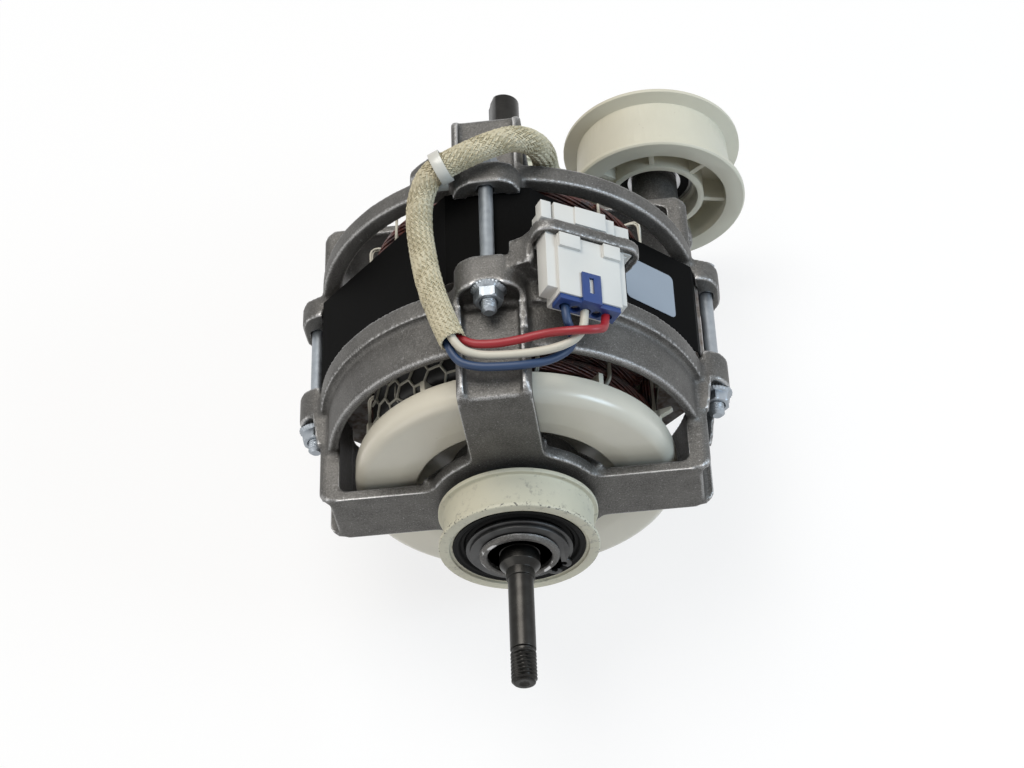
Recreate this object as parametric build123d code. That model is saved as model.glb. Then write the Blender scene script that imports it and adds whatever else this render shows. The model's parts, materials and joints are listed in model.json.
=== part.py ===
from build123d import *
from math import atan2, ceil, cos, degrees, hypot, pi, radians, sin, sqrt, tan
import os

# Tumble-dryer induction motor, in millimetres.
# The origin is the centre of the front mounting ring, on the shaft line.
# The shaft runs along Y: the fan end is at -Y and the belt end at +Y.
# +Z goes through the top through bolt, and +X is the side of the belt idler.
# A station is a place along Y; an angle is counted from +X towards +Z.

os.makedirs("parts", exist_ok=True)

# Fits
press_gap = 0.02
running_gap = 0.05
seat_gap = 0.1
loose_gap = 0.3

# Stator core
core_front = 52.0
core_length = 35.0
core_flat = 52.3
core_corner_r = 62.2
bore_r = 32.0
slot_count = 24
slot_inner_r = 34.2
slot_outer_r = 47.3
tooth_width = 2.9
slot_mouth = 2.4
liner_wall = 0.3
liner_reach = 1.5
wrap_wall = 0.4
wrap_open_angle = 9.0

# Windings: each slot holds one bundle, and three nested end turns make a pole
bundle = 4.8
bundle_sides = 8
main_r = 37.4
auxiliary_r = 43.9
end_bend_r = 4.9
end_turn_first = 7.3
end_turn_pitch = 5.85
coils_per_pole = 3
winding_stub = 1.2
lacing_wall = 1.0
lacing_gap = 0.2
lacing_count = 12
protector_size = (20.0, 4.6, 8.0)

# End bells, as distances out from the core's end faces
front_depth = 42.4
rear_depth = 32.6
bell_inner_r = 56.8
bell_outer_r = 62.8
bell_band = (3.0, 9.6)
skirt_outer_r = 60.0
skirt_end = 24.5
leg_inner_r = 56.2
leg_web = 2.6
arm_half = 11.2
leg_rib = 2.4
arm_wall = 3.5
arm_corner_r = 5.0
arm_inner_corner_r = 3.0
arm_fillet = 6.0
arm_end_round = 3.0
foot_slope_r = 47.8
foot_slope = 8.0
foot_wall = 3.0
hub_r = 28.0
hub_wall = 4.4
cup_wall = 3.2
cup_floor = 2.4
gusset_count = 8
gusset_wall = 2.4
gusset_reach = 30.5
gusset_depth = 9.0
shoulder_r = 15.5
nose_r = 12.5
nose_bore_r = 9.1
nose_chamfer = 0.8
nose_past_ring = 3.5

# Bolt bosses, through bolts and nuts
bolt_clear = 0.21
bolt_shank_r = 2.24
bolt_hole_r = 2.6
boss_half = 10.8
boss_rim = 4.85
boss_corner_r = 8.0
front_boss_depth = 8.3
rear_boss_depth = 9.6
front_lip = 3.0
rear_lip = 3.0
front_seat = 7.0
rear_seat = 5.0
nut_rim = 1.6
rib_ramp_top = 64.5
rib_ramp_end = 20.0
hex_width = 8.0
bolt_head = 4.2
nut_height = 5.2
nut_flange_r = 5.6
nut_flange = 1.2
bolt_past_nut = 3.8
bolt_thread_r = 2.46
bolt_thread_past = 1.5

# Bearings: bore radius, outside radius and width
main_bearing = (7.5, 17.5, 11.0)
idler_bearing = (7.5, 14.0, 7.0)
race_share = 0.27
main_balls = 8
idler_balls = 9
shield_wall = 0.35
spring_wall = 0.6
spring_rise = 0.7

# Mounting rings on the hub noses
mount_ring_r = 25.2
mount_groove_r = 23.6
mount_ring_inner_r = 20.8
mount_ring_width = 13.8
mount_flange = 1.5
mount_shelf = 0.4
front_ring_gap = 2.7
rear_ring_gap = 1.1
ring_washer_wall = 0.9
circlip_wall = 1.2
circlip_reach = 3.0
circlip_depth = 0.6
circlip_opening = 9.0
circlip_angle = -42.0
circlip_lug_r = 2.4
circlip_hole_r = 1.0

# Rotor
air_gap = 0.35
core_seat_r = 8.5
cage_inner_r = 17.0
cage_outer_r = 30.0
cage_ring = 7.0
cage_bars = 17
cage_bar = (6.0, 3.2)
cage_bar_r = 26.5
vane_count = 8
vane_size = (9.0, 4.0, 2.0)
neck_r = 6.35
neck_end = -13.2
collar_r = 4.5
collar_end = -18.0
fan_shaft_r = 4.0
thread_start = -42.6
undercut_width = 1.4
undercut_depth = 0.6
front_tip = -54.0
tip_chamfer = 0.8
belt_neck_r = 6.3
belt_shaft_r = 5.7
belt_shaft_past_nose = 0.4
rear_tip = 180.8
rear_tip_round = 1.2

# Cooling fan
shroud_r = 51.2
shroud_front = 15.0
shroud_back = 24.5
shroud_round = 6.2
shroud_hole_r = 31.8
shroud_lip = 3.5
shroud_wall = 1.4
blade_count = 11
blade_wall = 1.6
blade_root_r = 33.0
blade_tip_r = 50.4
blade_first = 85.0
balance_blade = 9
balance_tab_r = 54.3
blade_back = 28.4
fan_plate = 1.5
fan_plate_r = 36.0
fan_hub_r = 13.0
fan_hub = (25.4, 37.0)

# Belt idler
idler_x = 51.5
idler_z = -10.5
pulley_front = 135.6
pulley_back = 161.2
pulley_flange_r = 31.3
pulley_tread_r = 26.6
pulley_flange = 1.8
pulley_crown = 0.5
pulley_window_r = 24.7
pulley_hub_r = 17.0
pulley_entry_r = 14.9
pulley_web = 2.5
pulley_ribs = 7
pulley_rib_wall = 1.8
post_r = 8.0
post_base_r = 11.5
post_base = 7.4
idler_clip_wall = 1.0

# Connector: across and height are measured in a frame turned about the shaft line
connector_tilt = 32.0
cavity_first = -17.9
cavity_pitch = 3.5
cavity_count = 5
cavity_r = 1.55
socket_lift = 3.8
socket_thick = 8.6
socket_across = (-24.3, 4.8)
socket_low = core_corner_r + socket_lift
socket_height = (socket_low, socket_low + socket_thick)
cavity_height = socket_low + 5.9
plug_across = (-21.2, -0.5)
plug_height = (cavity_height - 4.7, cavity_height + 4.1)
plug_front = 33.6
plug_back = 55.6
rail_width = 3.4
rail_half = 3.0
rail_front = 35.6
rail_across = (plug_across[0] - rail_width, plug_across[0])
rail_height = (cavity_height - rail_half, cavity_height + rail_half)
flange_width = 2.3
flange_across = (plug_across[1], plug_across[1] + flange_width)
socket_front = 56.0
socket_back = 67.2
socket_step = 62.0
socket_wall = 1.1
socket_floor = 2.4
socket_drop = 1.0
tongue_end = 60.5
snap = 1.1
snap_run = 5.0
snaps_across = ((-21.0, -14.0), (-6.2, -0.6))
socket_blocks = ((-26.2, -22.8, 1.4), (-22.0, -15.2, 1.8), (-15.2, -4.8, 2.4), (-4.8, -1.0, 0.6))
lock_wall = 1.6
lock_front = 31.8
lock_rim = 0.4
lock_tab = (6.2, 0.9)
lock_tab_slot = 1.5
lock_tab_end = 42.6
lock_height = (cavity_height - 2.2, cavity_height + 3.6)
pin_half = 0.5
bracket_clear = 0.6
bracket_wall = (2.5, 2.3)
bracket_inner_across = (socket_across[0] - bracket_clear, socket_across[1] + bracket_clear)
bracket_inner_height = (socket_height[0] - bracket_clear, socket_height[1] + bracket_clear)
bracket_across = (bracket_inner_across[0] - bracket_wall[0], bracket_inner_across[1] + bracket_wall[0])
bracket_height = (bracket_inner_height[0] - bracket_wall[1], bracket_inner_height[1] + bracket_wall[1])
bracket = (56.0, 60.0)
bracket_root = 9.0
bracket_corner_r = 5.0
bracket_inner_r = 1.5
bracket_foot = 51.0
boss_overlap = 2.0

# Leads, from the sleeve's mouth to the connector
lead_r = 1.3
lead_end = 44.0
lead_red_route = [
    (-10.5, 29.0, 65.9), (-7.1, 24.3, 66.9), (0.4, 23.1, 67.0), (8.0, 23.7, 66.9),
    (16.0, 25.0, 67.3), (24.6, 23.3, 69.9), (32.4, 23.6, 68.6),
]
lead_white_route = [
    (-11.9, 27.8, 68.8), (-9.4, 22.2, 67.7), (-3.6, 20.5, 65.6), (4.8, 20.0, 65.2),
    (12.8, 20.0, 65.2), (20.6, 20.6, 65.8), (26.4, 23.0, 66.4),
]
lead_blue_route = [
    (-13.2, 27.4, 65.9), (-11.1, 20.0, 65.2), (-4.8, 17.2, 64.6), (3.0, 16.7, 64.2),
    (10.6, 17.0, 63.6), (17.6, 19.0, 61.8), (24.2, 23.4, 61.0), (24.4, 26.2, 65.4),
]
lead_run_up = 3.4

# Woven sleeve over the leads, from its mouth to the rear end turns
sleeve_r = 4.25
sleeve_wall = 0.4
sleeve_route = [
    (-10.8, 25.6, 66.9), (-15.9, 39.6, 67.0), (-19.2, 56.0, 65.3), (-20.9, 70.0, 65.4),
    (-20.4, 79.6, 68.2), (-16.4, 85.6, 73.8), (-8.6, 88.2, 75.8), (0.6, 92.6, 75.8),
    (9.6, 96.2, 74.9), (15.0, 97.8, 70.6), (17.8, 100.2, 63.6), (18.4, 103.0, 54.6), (18.6, 102.6, 44.6),
]
tie_wall = 0.9
tie_width = 3.6
tie_knot = (-14.0, 88.6, 66.8)
tie_knot_size = (5.2, 5.4, 3.6)
tie_strap = (2.6, 3.0, 4.0)
tie_at = (-12.7, 86.8, 75.4)
lug = (91.8, 95.8)
beyond = 100.0
lug_outline = [
    (-10.0, 58.0), (-10.0, 71.0), (-13.0, 73.0), (-16.5, 71.0), (-19.0, 69.0), (-21.5, 67.0),
    (-23.8, 64.5), (-25.0, 57.5),
]
lug_hole_r = 1.7
bend_share = 0.45

# Values that follow from the sizes above
core_rear = core_front + core_length
front_face = core_front - front_depth
rear_face = core_rear + rear_depth
leg_web_r = leg_inner_r + leg_web
bolt_circle_r = bell_outer_r + bolt_shank_r + bolt_clear
boss_top = bolt_circle_r + boss_rim
cup_r = main_bearing[1] + cup_wall
cup_depth = cup_floor + main_bearing[2] + 1.2
spring_depth = spring_wall + spring_rise
front_bearing = front_face + cup_floor
rear_bearing = rear_face - cup_floor - spring_depth - main_bearing[2]
rear_ring_centre = rear_face + rear_ring_gap + mount_ring_width / 2
rear_nose_end = rear_face + rear_ring_gap + mount_ring_width + nose_past_ring
belt_shaft_start = rear_nose_end + belt_shaft_past_nose
rotor_r = bore_r - air_gap
slot_step = 360 / slot_count
half_spans = [slot_step * (slot_count / 4 - index - 0.5) for index in reversed(range(coils_per_pole))]
idler_bearing_front = (pulley_front + pulley_back - idler_bearing[2]) / 2
idler_bearing_back = idler_bearing_front + idler_bearing[2]
post_tip = idler_bearing_back + idler_clip_wall + 1.6
cavities = [cavity_first + cavity_pitch * index for index in range(cavity_count)]


def slab(outline, low, high):
    """The solid between two stations whose outline is drawn in X and Z."""
    plane = Plane(origin=(0, high, 0), x_dir=(1, 0, 0), z_dir=(0, -1, 0))
    return extrude(plane * outline, high - low)


def ring(outer, inner, low, high):
    """A plain ring about the shaft line."""
    return slab(Circle(outer) - Circle(inner), low, high)


def rod(radius, low, high):
    """A plain round bar on the shaft line."""
    return slab(Circle(radius), low, high)


def cone(low_radius, high_radius, low, high):
    """A round bar whose radius changes evenly between two stations."""
    return turned((0, low), (low_radius, low), (high_radius, high), (0, high))


def shape(*points):
    """A flat face from its corners."""
    return make_face(Polyline(*points, close=True))


def turned(*profile):
    """A solid turned about the shaft line from its (radius, station) corners."""
    return revolve(shape(*profile), Axis.Y)


def upright(profile, thickness):
    """A plate on the XY plane from its (radius, station) corners, centred on that plane."""
    return extrude(shape(*profile), thickness / 2, both=True)


def block(x_range, y_range, z_range):
    """A box from its ranges along X, Y and Z."""
    ranges = (x_range, y_range, z_range)
    size = [high - low for low, high in ranges]
    centre = [(high + low) / 2 for low, high in ranges]
    return Pos(*centre) * Box(*size)


def rectangle(x_range, z_range):
    """A flat rectangle from its two ranges."""
    centre = Pos((x_range[0] + x_range[1]) / 2, (z_range[0] + z_range[1]) / 2)
    return centre * Rectangle(x_range[1] - x_range[0], z_range[1] - z_range[0])


def at_angle(angle, part):
    """Turns a part that was built on +X to an angle about the shaft line."""
    return Rot(0, -angle, 0) * part


def around(count, part, first=0.0):
    """Even copies of a part about the shaft line."""
    return [at_angle(first + 360 * index / count, part) for index in range(count)]


def on_connector(part):
    """Moves a part from the connector's own frame into its tilted place."""
    return Rot(0, connector_tilt, 0) * part


def connector_point(across, height):
    """A point of the connector's frame, seen along the shaft line."""
    place = Rot(0, connector_tilt, 0) * Pos(across, 0, height)
    return place.position.X, place.position.Z


def on_idler(part):
    """Moves a part from the shaft line to the idler's axis."""
    return Pos(idler_x, 0, idler_z) * part


def save(node, *solids):
    """Writes one named node, which holds one or more separate solids."""
    part = solids[0] if len(solids) == 1 else Compound(children=list(solids))
    part.label = node
    export_step(part, f"parts/{node}.step")


def core_outline(flat, corner_r):
    """A square that stands on its corner, with its four corners rounded on one circle."""
    return Rectangle(2 * flat, 2 * flat, rotation=45) & Circle(corner_r)


def slot_outline(inset):
    """One slot on +X, smaller all round by an inset; its sides keep the teeth even."""
    half_step = radians(slot_step / 2)
    side = (tooth_width / 2 + inset) / cos(half_step)
    low = slot_inner_r + inset
    high = slot_outer_r - inset
    low_half = low * tan(half_step) - side
    high_half = high * tan(half_step) - side
    return shape((low, -low_half), (high, -high_half), (high, high_half), (low, low_half))


def make_core():
    outline = core_outline(core_flat, core_corner_r) - Circle(bore_r)
    slot = slot_outline(0) + rectangle((bore_r - 1, slot_inner_r + 1), (-slot_mouth / 2, slot_mouth / 2))
    for index in range(slot_count):
        outline -= Rot(0, 0, slot_step * (index + 0.5)) * slot
    return slab(outline, core_front, core_rear)


def make_wrap():
    """The black sheet round the core, open at the idler side and under the bells' lips."""
    sheet = core_outline(core_flat + wrap_wall, core_corner_r + wrap_wall)
    sheet -= core_outline(core_flat + press_gap, core_corner_r + press_gap)
    reach = 2 * core_corner_r
    drop = reach * tan(radians(wrap_open_angle))
    sheet -= shape((0, 0), (reach, drop), (reach, -drop))
    return slab(sheet, core_front + seat_gap, core_rear - seat_gap)


def make_liners():
    """An insulating trough in each slot, open at the slot's mouth."""
    trough = slot_outline(seat_gap) - slot_outline(seat_gap + liner_wall)
    trough -= rectangle((slot_inner_r - 1, slot_inner_r + 1), (-slot_outer_r, slot_outer_r))
    liner = slab(trough, core_front - liner_reach, core_rear + liner_reach)
    return around(slot_count, liner, slot_step / 2)


def polar(radius, angle, station):
    """The point at a radius and angle about the shaft line."""
    return Vector(radius * cos(radians(angle)), station, radius * sin(radians(angle)))


def end_bend(radius, slot, way, station, outward):
    """The start, middle and end of a quarter turn from a slot side into an end turn."""
    base = station - outward * end_bend_r
    lean = way * degrees(atan2(end_bend_r, radius))
    side = polar(hypot(radius, end_bend_r), slot, base)
    top = polar(radius, slot + lean, station)
    centre = polar(radius, slot + lean, base)
    middle = centre + ((side - centre) + (top - centre)) / sqrt(2)
    return side, middle, top


def winding_turns(pole):
    """The end turns of one winding in order, as its two slots, its layer and its end."""
    far = pole + 180
    front_turns = [(pole - half, pole + half, layer) for layer, half in enumerate(half_spans)]
    front_turns += [(far - half, far + half, layer) for layer, half in reversed(list(enumerate(half_spans)))]
    turns = [(*front_turns[0], -1)]
    for index, (turn, following) in enumerate(zip(front_turns, front_turns[1:]), start=1):
        layer = -1 if index == coils_per_pole else min(turn[2], following[2])
        turns.append((turn[1], following[0], layer, 1))
        turns.append((*following, -1))
    return turns


def winding_path(radius, pole):
    """One unbroken line of straight slot sides, end bends and end turns."""
    side_r = hypot(radius, end_bend_r)
    stub = core_rear + winding_stub
    edges = []
    last = polar(side_r, pole - half_spans[0], stub)
    for start, stop, layer, outward in winding_turns(pole):
        face = core_rear if outward > 0 else core_front
        if layer < 0:
            link_r = side_r * sin(radians(slot_step / 2))
            base = face + outward * (end_turn_first - end_bend_r)
            first = polar(side_r, start, base)
            end = polar(side_r, stop, base)
            top = polar(side_r * cos(radians(slot_step / 2)), (start + stop) / 2, base + outward * link_r)
            edges += [Line(last, first), ThreePointArc(first, top, end)]
            last = end
            continue
        station = face + outward * (end_turn_first + end_turn_pitch * layer)
        way = 1 if stop > start else -1
        first, bend, top = end_bend(radius, start, way, station, outward)
        end, back_bend, back_top = end_bend(radius, stop, -way, station, outward)
        lean = degrees(atan2(end_bend_r, radius)) * way
        crest = polar(radius, (start + stop) / 2, station)
        edges += [Line(last, first), ThreePointArc(first, bend, top)]
        edges += [ThreePointArc(top, crest, back_top), ThreePointArc(back_top, back_bend, end)]
        last = end
    edges.append(Line(last, polar(side_r, pole + 180 + half_spans[0], stub)))
    return Wire(edges)


def sweep_section(section, path):
    """Sweeps a flat section, centred on the origin, along a path from its start."""
    start = Plane(origin=path @ 0, z_dir=path % 0)
    return sweep(start * section, path)


def path_points(path, step):
    """Evenly spaced points on a path."""
    count = ceil(path.length / step)
    return [path @ (index / count) for index in range(count + 1)]


def self_gap(path, width, step):
    """The least space that a tube along a path leaves to itself."""
    points = path_points(path, step)
    skip = ceil(2.2 * width / step)
    least = path.length
    for index, point in enumerate(points):
        for other in points[index + skip:]:
            least = min(least, (point - other).length)
    return least - width


def make_winding(name, radius, pole):
    path = winding_path(radius, pole)
    across = bundle / 2 / cos(pi / bundle_sides)
    solid = sweep_section(RegularPolygon(across, bundle_sides), path)
    print(name, "length", round(path.length), "gap to itself", round(self_gap(path, 2 * across, 2.0), 2))
    return solid


def make_lacing(face, outward):
    """Cord loops round both windings' end turns, tied at even angles."""
    reach = end_turn_first + end_turn_pitch * (len(half_spans) - 1) + bundle / 2 + lacing_gap
    low = end_turn_first - bundle / 2 - lacing_gap
    inner = (main_r - bundle / 2 - lacing_gap, auxiliary_r + bundle / 2 + lacing_gap)
    stations = sorted((face + outward * low, face + outward * reach))
    window = rectangle(inner, stations)
    frame = rectangle(
        (inner[0] - lacing_wall, inner[1] + lacing_wall),
        (stations[0] - lacing_wall, stations[1] + lacing_wall),
    )
    loop = extrude(frame - window, lacing_wall / 2, both=True)
    return around(lacing_count, loop, slot_step)


def make_protector():
    """A flat thermal cut-out tied on the rear end turns, at the bottom left."""
    length, depth, height = protector_size
    reach = end_turn_first + end_turn_pitch * (len(half_spans) - 1) + bundle / 2 + lacing_gap
    base = core_rear + reach + lacing_wall + loose_gap
    body = block((auxiliary_r - height, auxiliary_r), (base, base + depth), (-length / 2, length / 2))
    body = fillet(body.edges().filter_by(Axis.Y), 1.5)
    return at_angle(225, body)


def cup_section(outer_r, depth, wall, outer_round, inner_r, inner_round):
    """The (radius, distance) section of a round shell with a flat end and rounded corners."""
    outer = RectangleRounded(2 * outer_r, 2 * depth, outer_round)
    inner = RectangleRounded(2 * inner_r, 2 * (depth - wall), inner_round)
    return (outer - inner) & rectangle((0, 2 * outer_r), (0, 2 * depth))


def boss_outline(inset):
    """The rounded outline of a bolt boss on +Z."""
    half = boss_half - inset
    top = boss_top - inset
    full = Pos(0, top - half * 2) * RectangleRounded(2 * half, 4 * half, boss_corner_r - inset)
    return full & rectangle((-half, half), (leg_inner_r - boss_corner_r, top))


def make_arms(depth):
    """Four legs that turn into arms at the hub, each a channel that is open outwards."""
    section = cup_section(bell_outer_r, depth, arm_wall, arm_corner_r, leg_inner_r, arm_inner_corner_r)
    shell = revolve(section, Axis.Y)
    plan = Rectangle(2 * arm_half, 2 * bell_outer_r) + Rectangle(2 * bell_outer_r, 2 * arm_half)
    plan = plan & Circle(bell_outer_r)
    plan = fillet([v for v in plan.vertices() if hypot(v.X, v.Y) > hub_r + 1], arm_end_round)
    plan = plan + Circle(hub_r)
    plan = fillet([v for v in plan.vertices() if abs(hypot(v.X, v.Y) - hub_r) < 0.1], arm_fillet)
    arms = shell & slab(plan, 0, depth)
    groove_half = arm_half - leg_rib
    groove = block((-groove_half, groove_half), (bell_band[1], 2 * depth), (leg_web_r, 2 * bell_outer_r))
    for cut in around(4, groove):
        arms -= cut
    hub = rod(hub_r, depth - hub_wall, depth)
    return arms + hub


def make_bell(depth, ring_gap, lip, seat, boss_depth, with_skirt):
    """One end bell: the distance out from the core's end face counts along +Y."""
    bell = make_arms(depth)
    bell += ring(bell_outer_r, bell_inner_r, *bell_band)
    if with_skirt:
        bell += ring(skirt_outer_r, bell_inner_r, bell_band[0], skirt_end)
    bell += rod(cup_r, depth - cup_depth, depth)
    rib = [
        (cup_r - 1, depth - hub_wall + 1), (gusset_reach, depth - hub_wall + 1),
        (gusset_reach, depth - hub_wall), (cup_r, depth - hub_wall - gusset_depth),
        (cup_r - 1, depth - hub_wall - gusset_depth),
    ]
    for gusset in around(gusset_count, upright(rib, gusset_wall), 180 / gusset_count):
        bell += gusset
    nose_end = depth + ring_gap + mount_ring_width + nose_past_ring
    bell += rod(shoulder_r, depth - 1, depth + ring_gap - seat_gap)
    bell += rod(nose_r, depth - 1, nose_end - nose_chamfer)
    bell += cone(nose_r, nose_r - nose_chamfer, nose_end - nose_chamfer, nose_end)
    groove_at = depth + ring_gap + mount_ring_width - mount_shelf + ring_washer_wall
    groove = (groove_at - press_gap, groove_at + circlip_wall + seat_gap)
    bell -= ring(nose_r + 1, nose_r - circlip_depth, *groove)
    bell -= rod(nose_bore_r, depth - cup_depth - 1, nose_end + 1)
    bell -= rod(main_bearing[1] + press_gap, depth - cup_depth - 1, depth - cup_floor)
    boss = slab(boss_outline(0), -lip, boss_depth) - rod(core_corner_r + wrap_wall + seat_gap, -lip - 1, 0)
    boss -= rod(bell_inner_r, -lip - 1, bell_band[1] + 1)
    boss -= Pos(0, 0, bolt_circle_r) * rod(bolt_hole_r, -lip - 1, seat + 1)
    ramp = [
        (leg_web_r, boss_depth - 1), (rib_ramp_top, boss_depth - 1), (rib_ramp_top, boss_depth),
        (bell_outer_r, rib_ramp_end), (leg_web_r, rib_ramp_end),
    ]
    rib_centre = arm_half - leg_rib / 2
    for side in (-rib_centre, rib_centre):
        if with_skirt:
            boss += Rot(0, -90, 0) * Pos(0, 0, -side) * upright(ramp, leg_rib)
    groove_half = arm_half - leg_rib
    pocket = rectangle((-groove_half, groove_half), (0, 2 * boss_top))
    if with_skirt:
        pocket = boss_outline(nut_rim) + Pos(0, bolt_circle_r) * Circle(nut_flange_r + loose_gap)
    cut = slab(pocket - Circle(leg_web_r), seat, bell_band[1] + 1)
    for part in around(4, boss):
        bell += part
    if not with_skirt:
        bell -= ring(2 * boss_top, bell_outer_r, seat, bell_band[1] + 1)
    for part in around(4, cut):
        bell -= part
    return bell


def make_front_bell():
    bell = make_bell(front_depth, front_ring_gap, front_lip, front_seat, front_boss_depth, True)
    bell = Pos(0, core_front, 0) * mirror(bell, about=Plane.XZ)
    outer = fillet(rectangle(bracket_across, bracket_height).vertices(), bracket_corner_r)
    inner = fillet(rectangle(bracket_inner_across, bracket_inner_height).vertices(), bracket_inner_r)
    bell += on_connector(slab(outer - inner, *bracket))
    left, low = bracket_across[0], bracket_height[0]
    arm = shape(
        (boss_half - boss_overlap, core_corner_r + 1), connector_point(left + bracket_root, low),
        connector_point(left + bracket_wall[0], low + bracket_corner_r),
        connector_point(left, low + bracket_corner_r), (boss_half - boss_overlap, boss_top - 1),
    )
    arm = slab(arm - Circle(core_corner_r + 2 * wrap_wall), bracket_foot, bracket[1])
    bell += arm - on_connector(slab(inner, bracket_foot - 1, bracket[1] + 1))
    slope = [(foot_slope_r, front_face), (bell_outer_r, front_face + foot_slope)]
    lean = Vector(*slope[1]) - Vector(*slope[0])
    inward = Vector(-lean.Y, lean.X).normalized() * foot_wall
    back = [(r + inward.X, y + inward.Y) for r, y in reversed(slope)]
    corner = [(2 * bell_outer_r, slope[1][1]), (2 * bell_outer_r, front_face - 1), (foot_slope_r, front_face - 1)]
    bell += at_angle(-90, upright(slope + back, 2 * arm_half))
    bell -= at_angle(-90, upright(slope + corner, 2 * arm_half + 2))
    return bell


def make_rear_bell():
    bell = make_bell(rear_depth, rear_ring_gap, rear_lip, rear_seat, rear_boss_depth, False)
    bell = Pos(0, core_rear, 0) * bell
    bell += slab(shape(*lug_outline) - Circle(bell_inner_r), *lug)
    bell -= Pos(tie_knot[0], 0, tie_knot[2]) * rod(lug_hole_r, lug[0] - 1, lug[1] + 1)
    pad = slab(Circle(post_base_r), rear_face - arm_wall, rear_face)
    post = pad + cone(post_base_r, post_r, rear_face, rear_face + post_base)
    post += rod(post_r, rear_face, idler_bearing_front)
    post += rod(idler_bearing[0] - press_gap, rear_face, post_tip)
    groove = (idler_bearing_back + seat_gap, idler_bearing_back + 2 * seat_gap + idler_clip_wall)
    post -= ring(idler_bearing[0] + 1, idler_bearing[0] - circlip_depth, *groove)
    return bell + on_idler(post)


def race_radii(bearing):
    """The inner ring's outside and the outer ring's inside."""
    height = bearing[1] - bearing[0]
    return bearing[0] + race_share * height, bearing[1] - race_share * height


def ball_radius(bearing):
    inner, outer = race_radii(bearing)
    return (outer - inner) / 2 + 0.28 * race_share * (bearing[1] - bearing[0])


def race_groove(bearing, front):
    """The torus that the balls run in, with running room."""
    centre = (bearing[0] + bearing[1]) / 2
    circle = Pos(centre, front + bearing[2] / 2) * Circle(ball_radius(bearing) + running_gap)
    return revolve(circle, Axis.Y)


def outer_race(bearing, front):
    inner, outer = race_radii(bearing)
    race = ring(bearing[1], outer, front, front + bearing[2]) - race_groove(bearing, front)
    for low in (front + shield_wall, front + bearing[2] - 2 * shield_wall):
        race += ring(outer + 0.3, inner + loose_gap, low, low + shield_wall)
    return race


def inner_race(bearing, front):
    inner, outer = race_radii(bearing)
    return ring(inner, bearing[0], front, front + bearing[2]) - race_groove(bearing, front)


def bearing_balls(bearing, front, count):
    centre = (bearing[0] + bearing[1]) / 2
    ball = Pos(centre, front + bearing[2] / 2, 0) * Sphere(ball_radius(bearing))
    return around(count, ball)


def make_spring():
    """A disc spring between the rear bearing and the floor of its cup."""
    low = rear_face - cup_floor - spring_depth + press_gap
    inner = race_radii(main_bearing)[1] + seat_gap
    outer = main_bearing[1] - seat_gap
    rise = spring_depth - spring_wall - 2 * press_gap
    return turned((inner, low + rise), (outer, low), (outer, low + spring_wall), (inner, low + rise + spring_wall))


def hexagon():
    return RegularPolygon(hex_width / 2, 6, major_radius=False)


def make_bolt():
    """A through bolt on +Z, from its head at the rear bell to its tip in the front leg."""
    head_seat = core_rear + rear_seat + press_gap
    tip = core_front - front_seat - nut_height - bolt_past_nut
    thread_end = core_front - front_seat + bolt_thread_past
    bolt = cone(bolt_thread_r - tip_chamfer, bolt_thread_r, tip, tip + tip_chamfer)
    bolt += rod(bolt_thread_r, tip + tip_chamfer, thread_end) + rod(bolt_shank_r, thread_end, head_seat)
    head = slab(hexagon(), head_seat, head_seat + bolt_head)
    crown = cone(hex_width * 0.7, hex_width * 0.45, head_seat + bolt_head - 1.4, head_seat + bolt_head)
    crown += rod(hex_width * 0.7, head_seat, head_seat + bolt_head - 1.4)
    return Pos(0, 0, bolt_circle_r) * (bolt + (head & crown))


def make_nut():
    seat = core_front - front_seat - press_gap
    nut = slab(hexagon(), seat - nut_height, seat) + rod(nut_flange_r, seat - nut_flange, seat)
    nut -= rod(bolt_thread_r + press_gap, seat - nut_height - 1, seat + 1)
    return Pos(0, 0, bolt_circle_r) * nut


def make_mount_ring(centre):
    """The plastic outer ring: two flanges with a groove for the appliance's clamp."""
    half = mount_ring_width / 2
    low = centre - half
    high = centre + half
    return turned(
        (mount_ring_inner_r, low), (mount_ring_r, low), (mount_ring_r, low + mount_flange),
        (mount_groove_r, low + mount_flange), (mount_groove_r, high - mount_flange),
        (mount_ring_r, high - mount_flange), (mount_ring_r, high), (mount_ring_inner_r, high),
    )


def make_rubber(centre, outward):
    """The rubber cushion between the nose and the plastic ring."""
    inward = centre - outward * mount_ring_width / 2
    out = centre + outward * (mount_ring_width / 2 - mount_shelf)
    low, high = sorted((inward, out))
    return ring(mount_ring_inner_r - press_gap, nose_r + press_gap, low, high)


def make_ring_washer(centre, outward):
    out = centre + outward * (mount_ring_width / 2 - mount_shelf)
    low, high = sorted((out + outward * press_gap, out + outward * (ring_washer_wall - press_gap)))
    return ring(nose_r + circlip_reach + 1.2, nose_r + seat_gap, low, high)


def make_circlip(centre, outward):
    """An open retaining ring with two pierced ears, in the nose's groove."""
    start = centre + outward * (mount_ring_width / 2 - mount_shelf + ring_washer_wall)
    low, high = sorted((start, start + outward * circlip_wall))
    clip = Circle(nose_r + circlip_reach) - Circle(nose_r - circlip_depth + press_gap)
    ear_r = nose_r + circlip_reach
    for angle in (circlip_angle - circlip_opening, circlip_angle + circlip_opening):
        ear = Rot(0, 0, angle) * Pos(ear_r, 0) * (Circle(circlip_lug_r) - Circle(circlip_hole_r))
        clip += ear
        clip -= Rot(0, 0, angle) * Pos(ear_r, 0) * Circle(circlip_hole_r)
    opening = nose_r * 2
    half = opening * tan(radians(circlip_opening / 2))
    clip -= Rot(0, 0, circlip_angle - 90) * shape((0, 0), (half, opening), (-half, opening))
    clip -= Circle(nose_r - circlip_depth + press_gap)
    return slab(clip, low, high)


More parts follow.
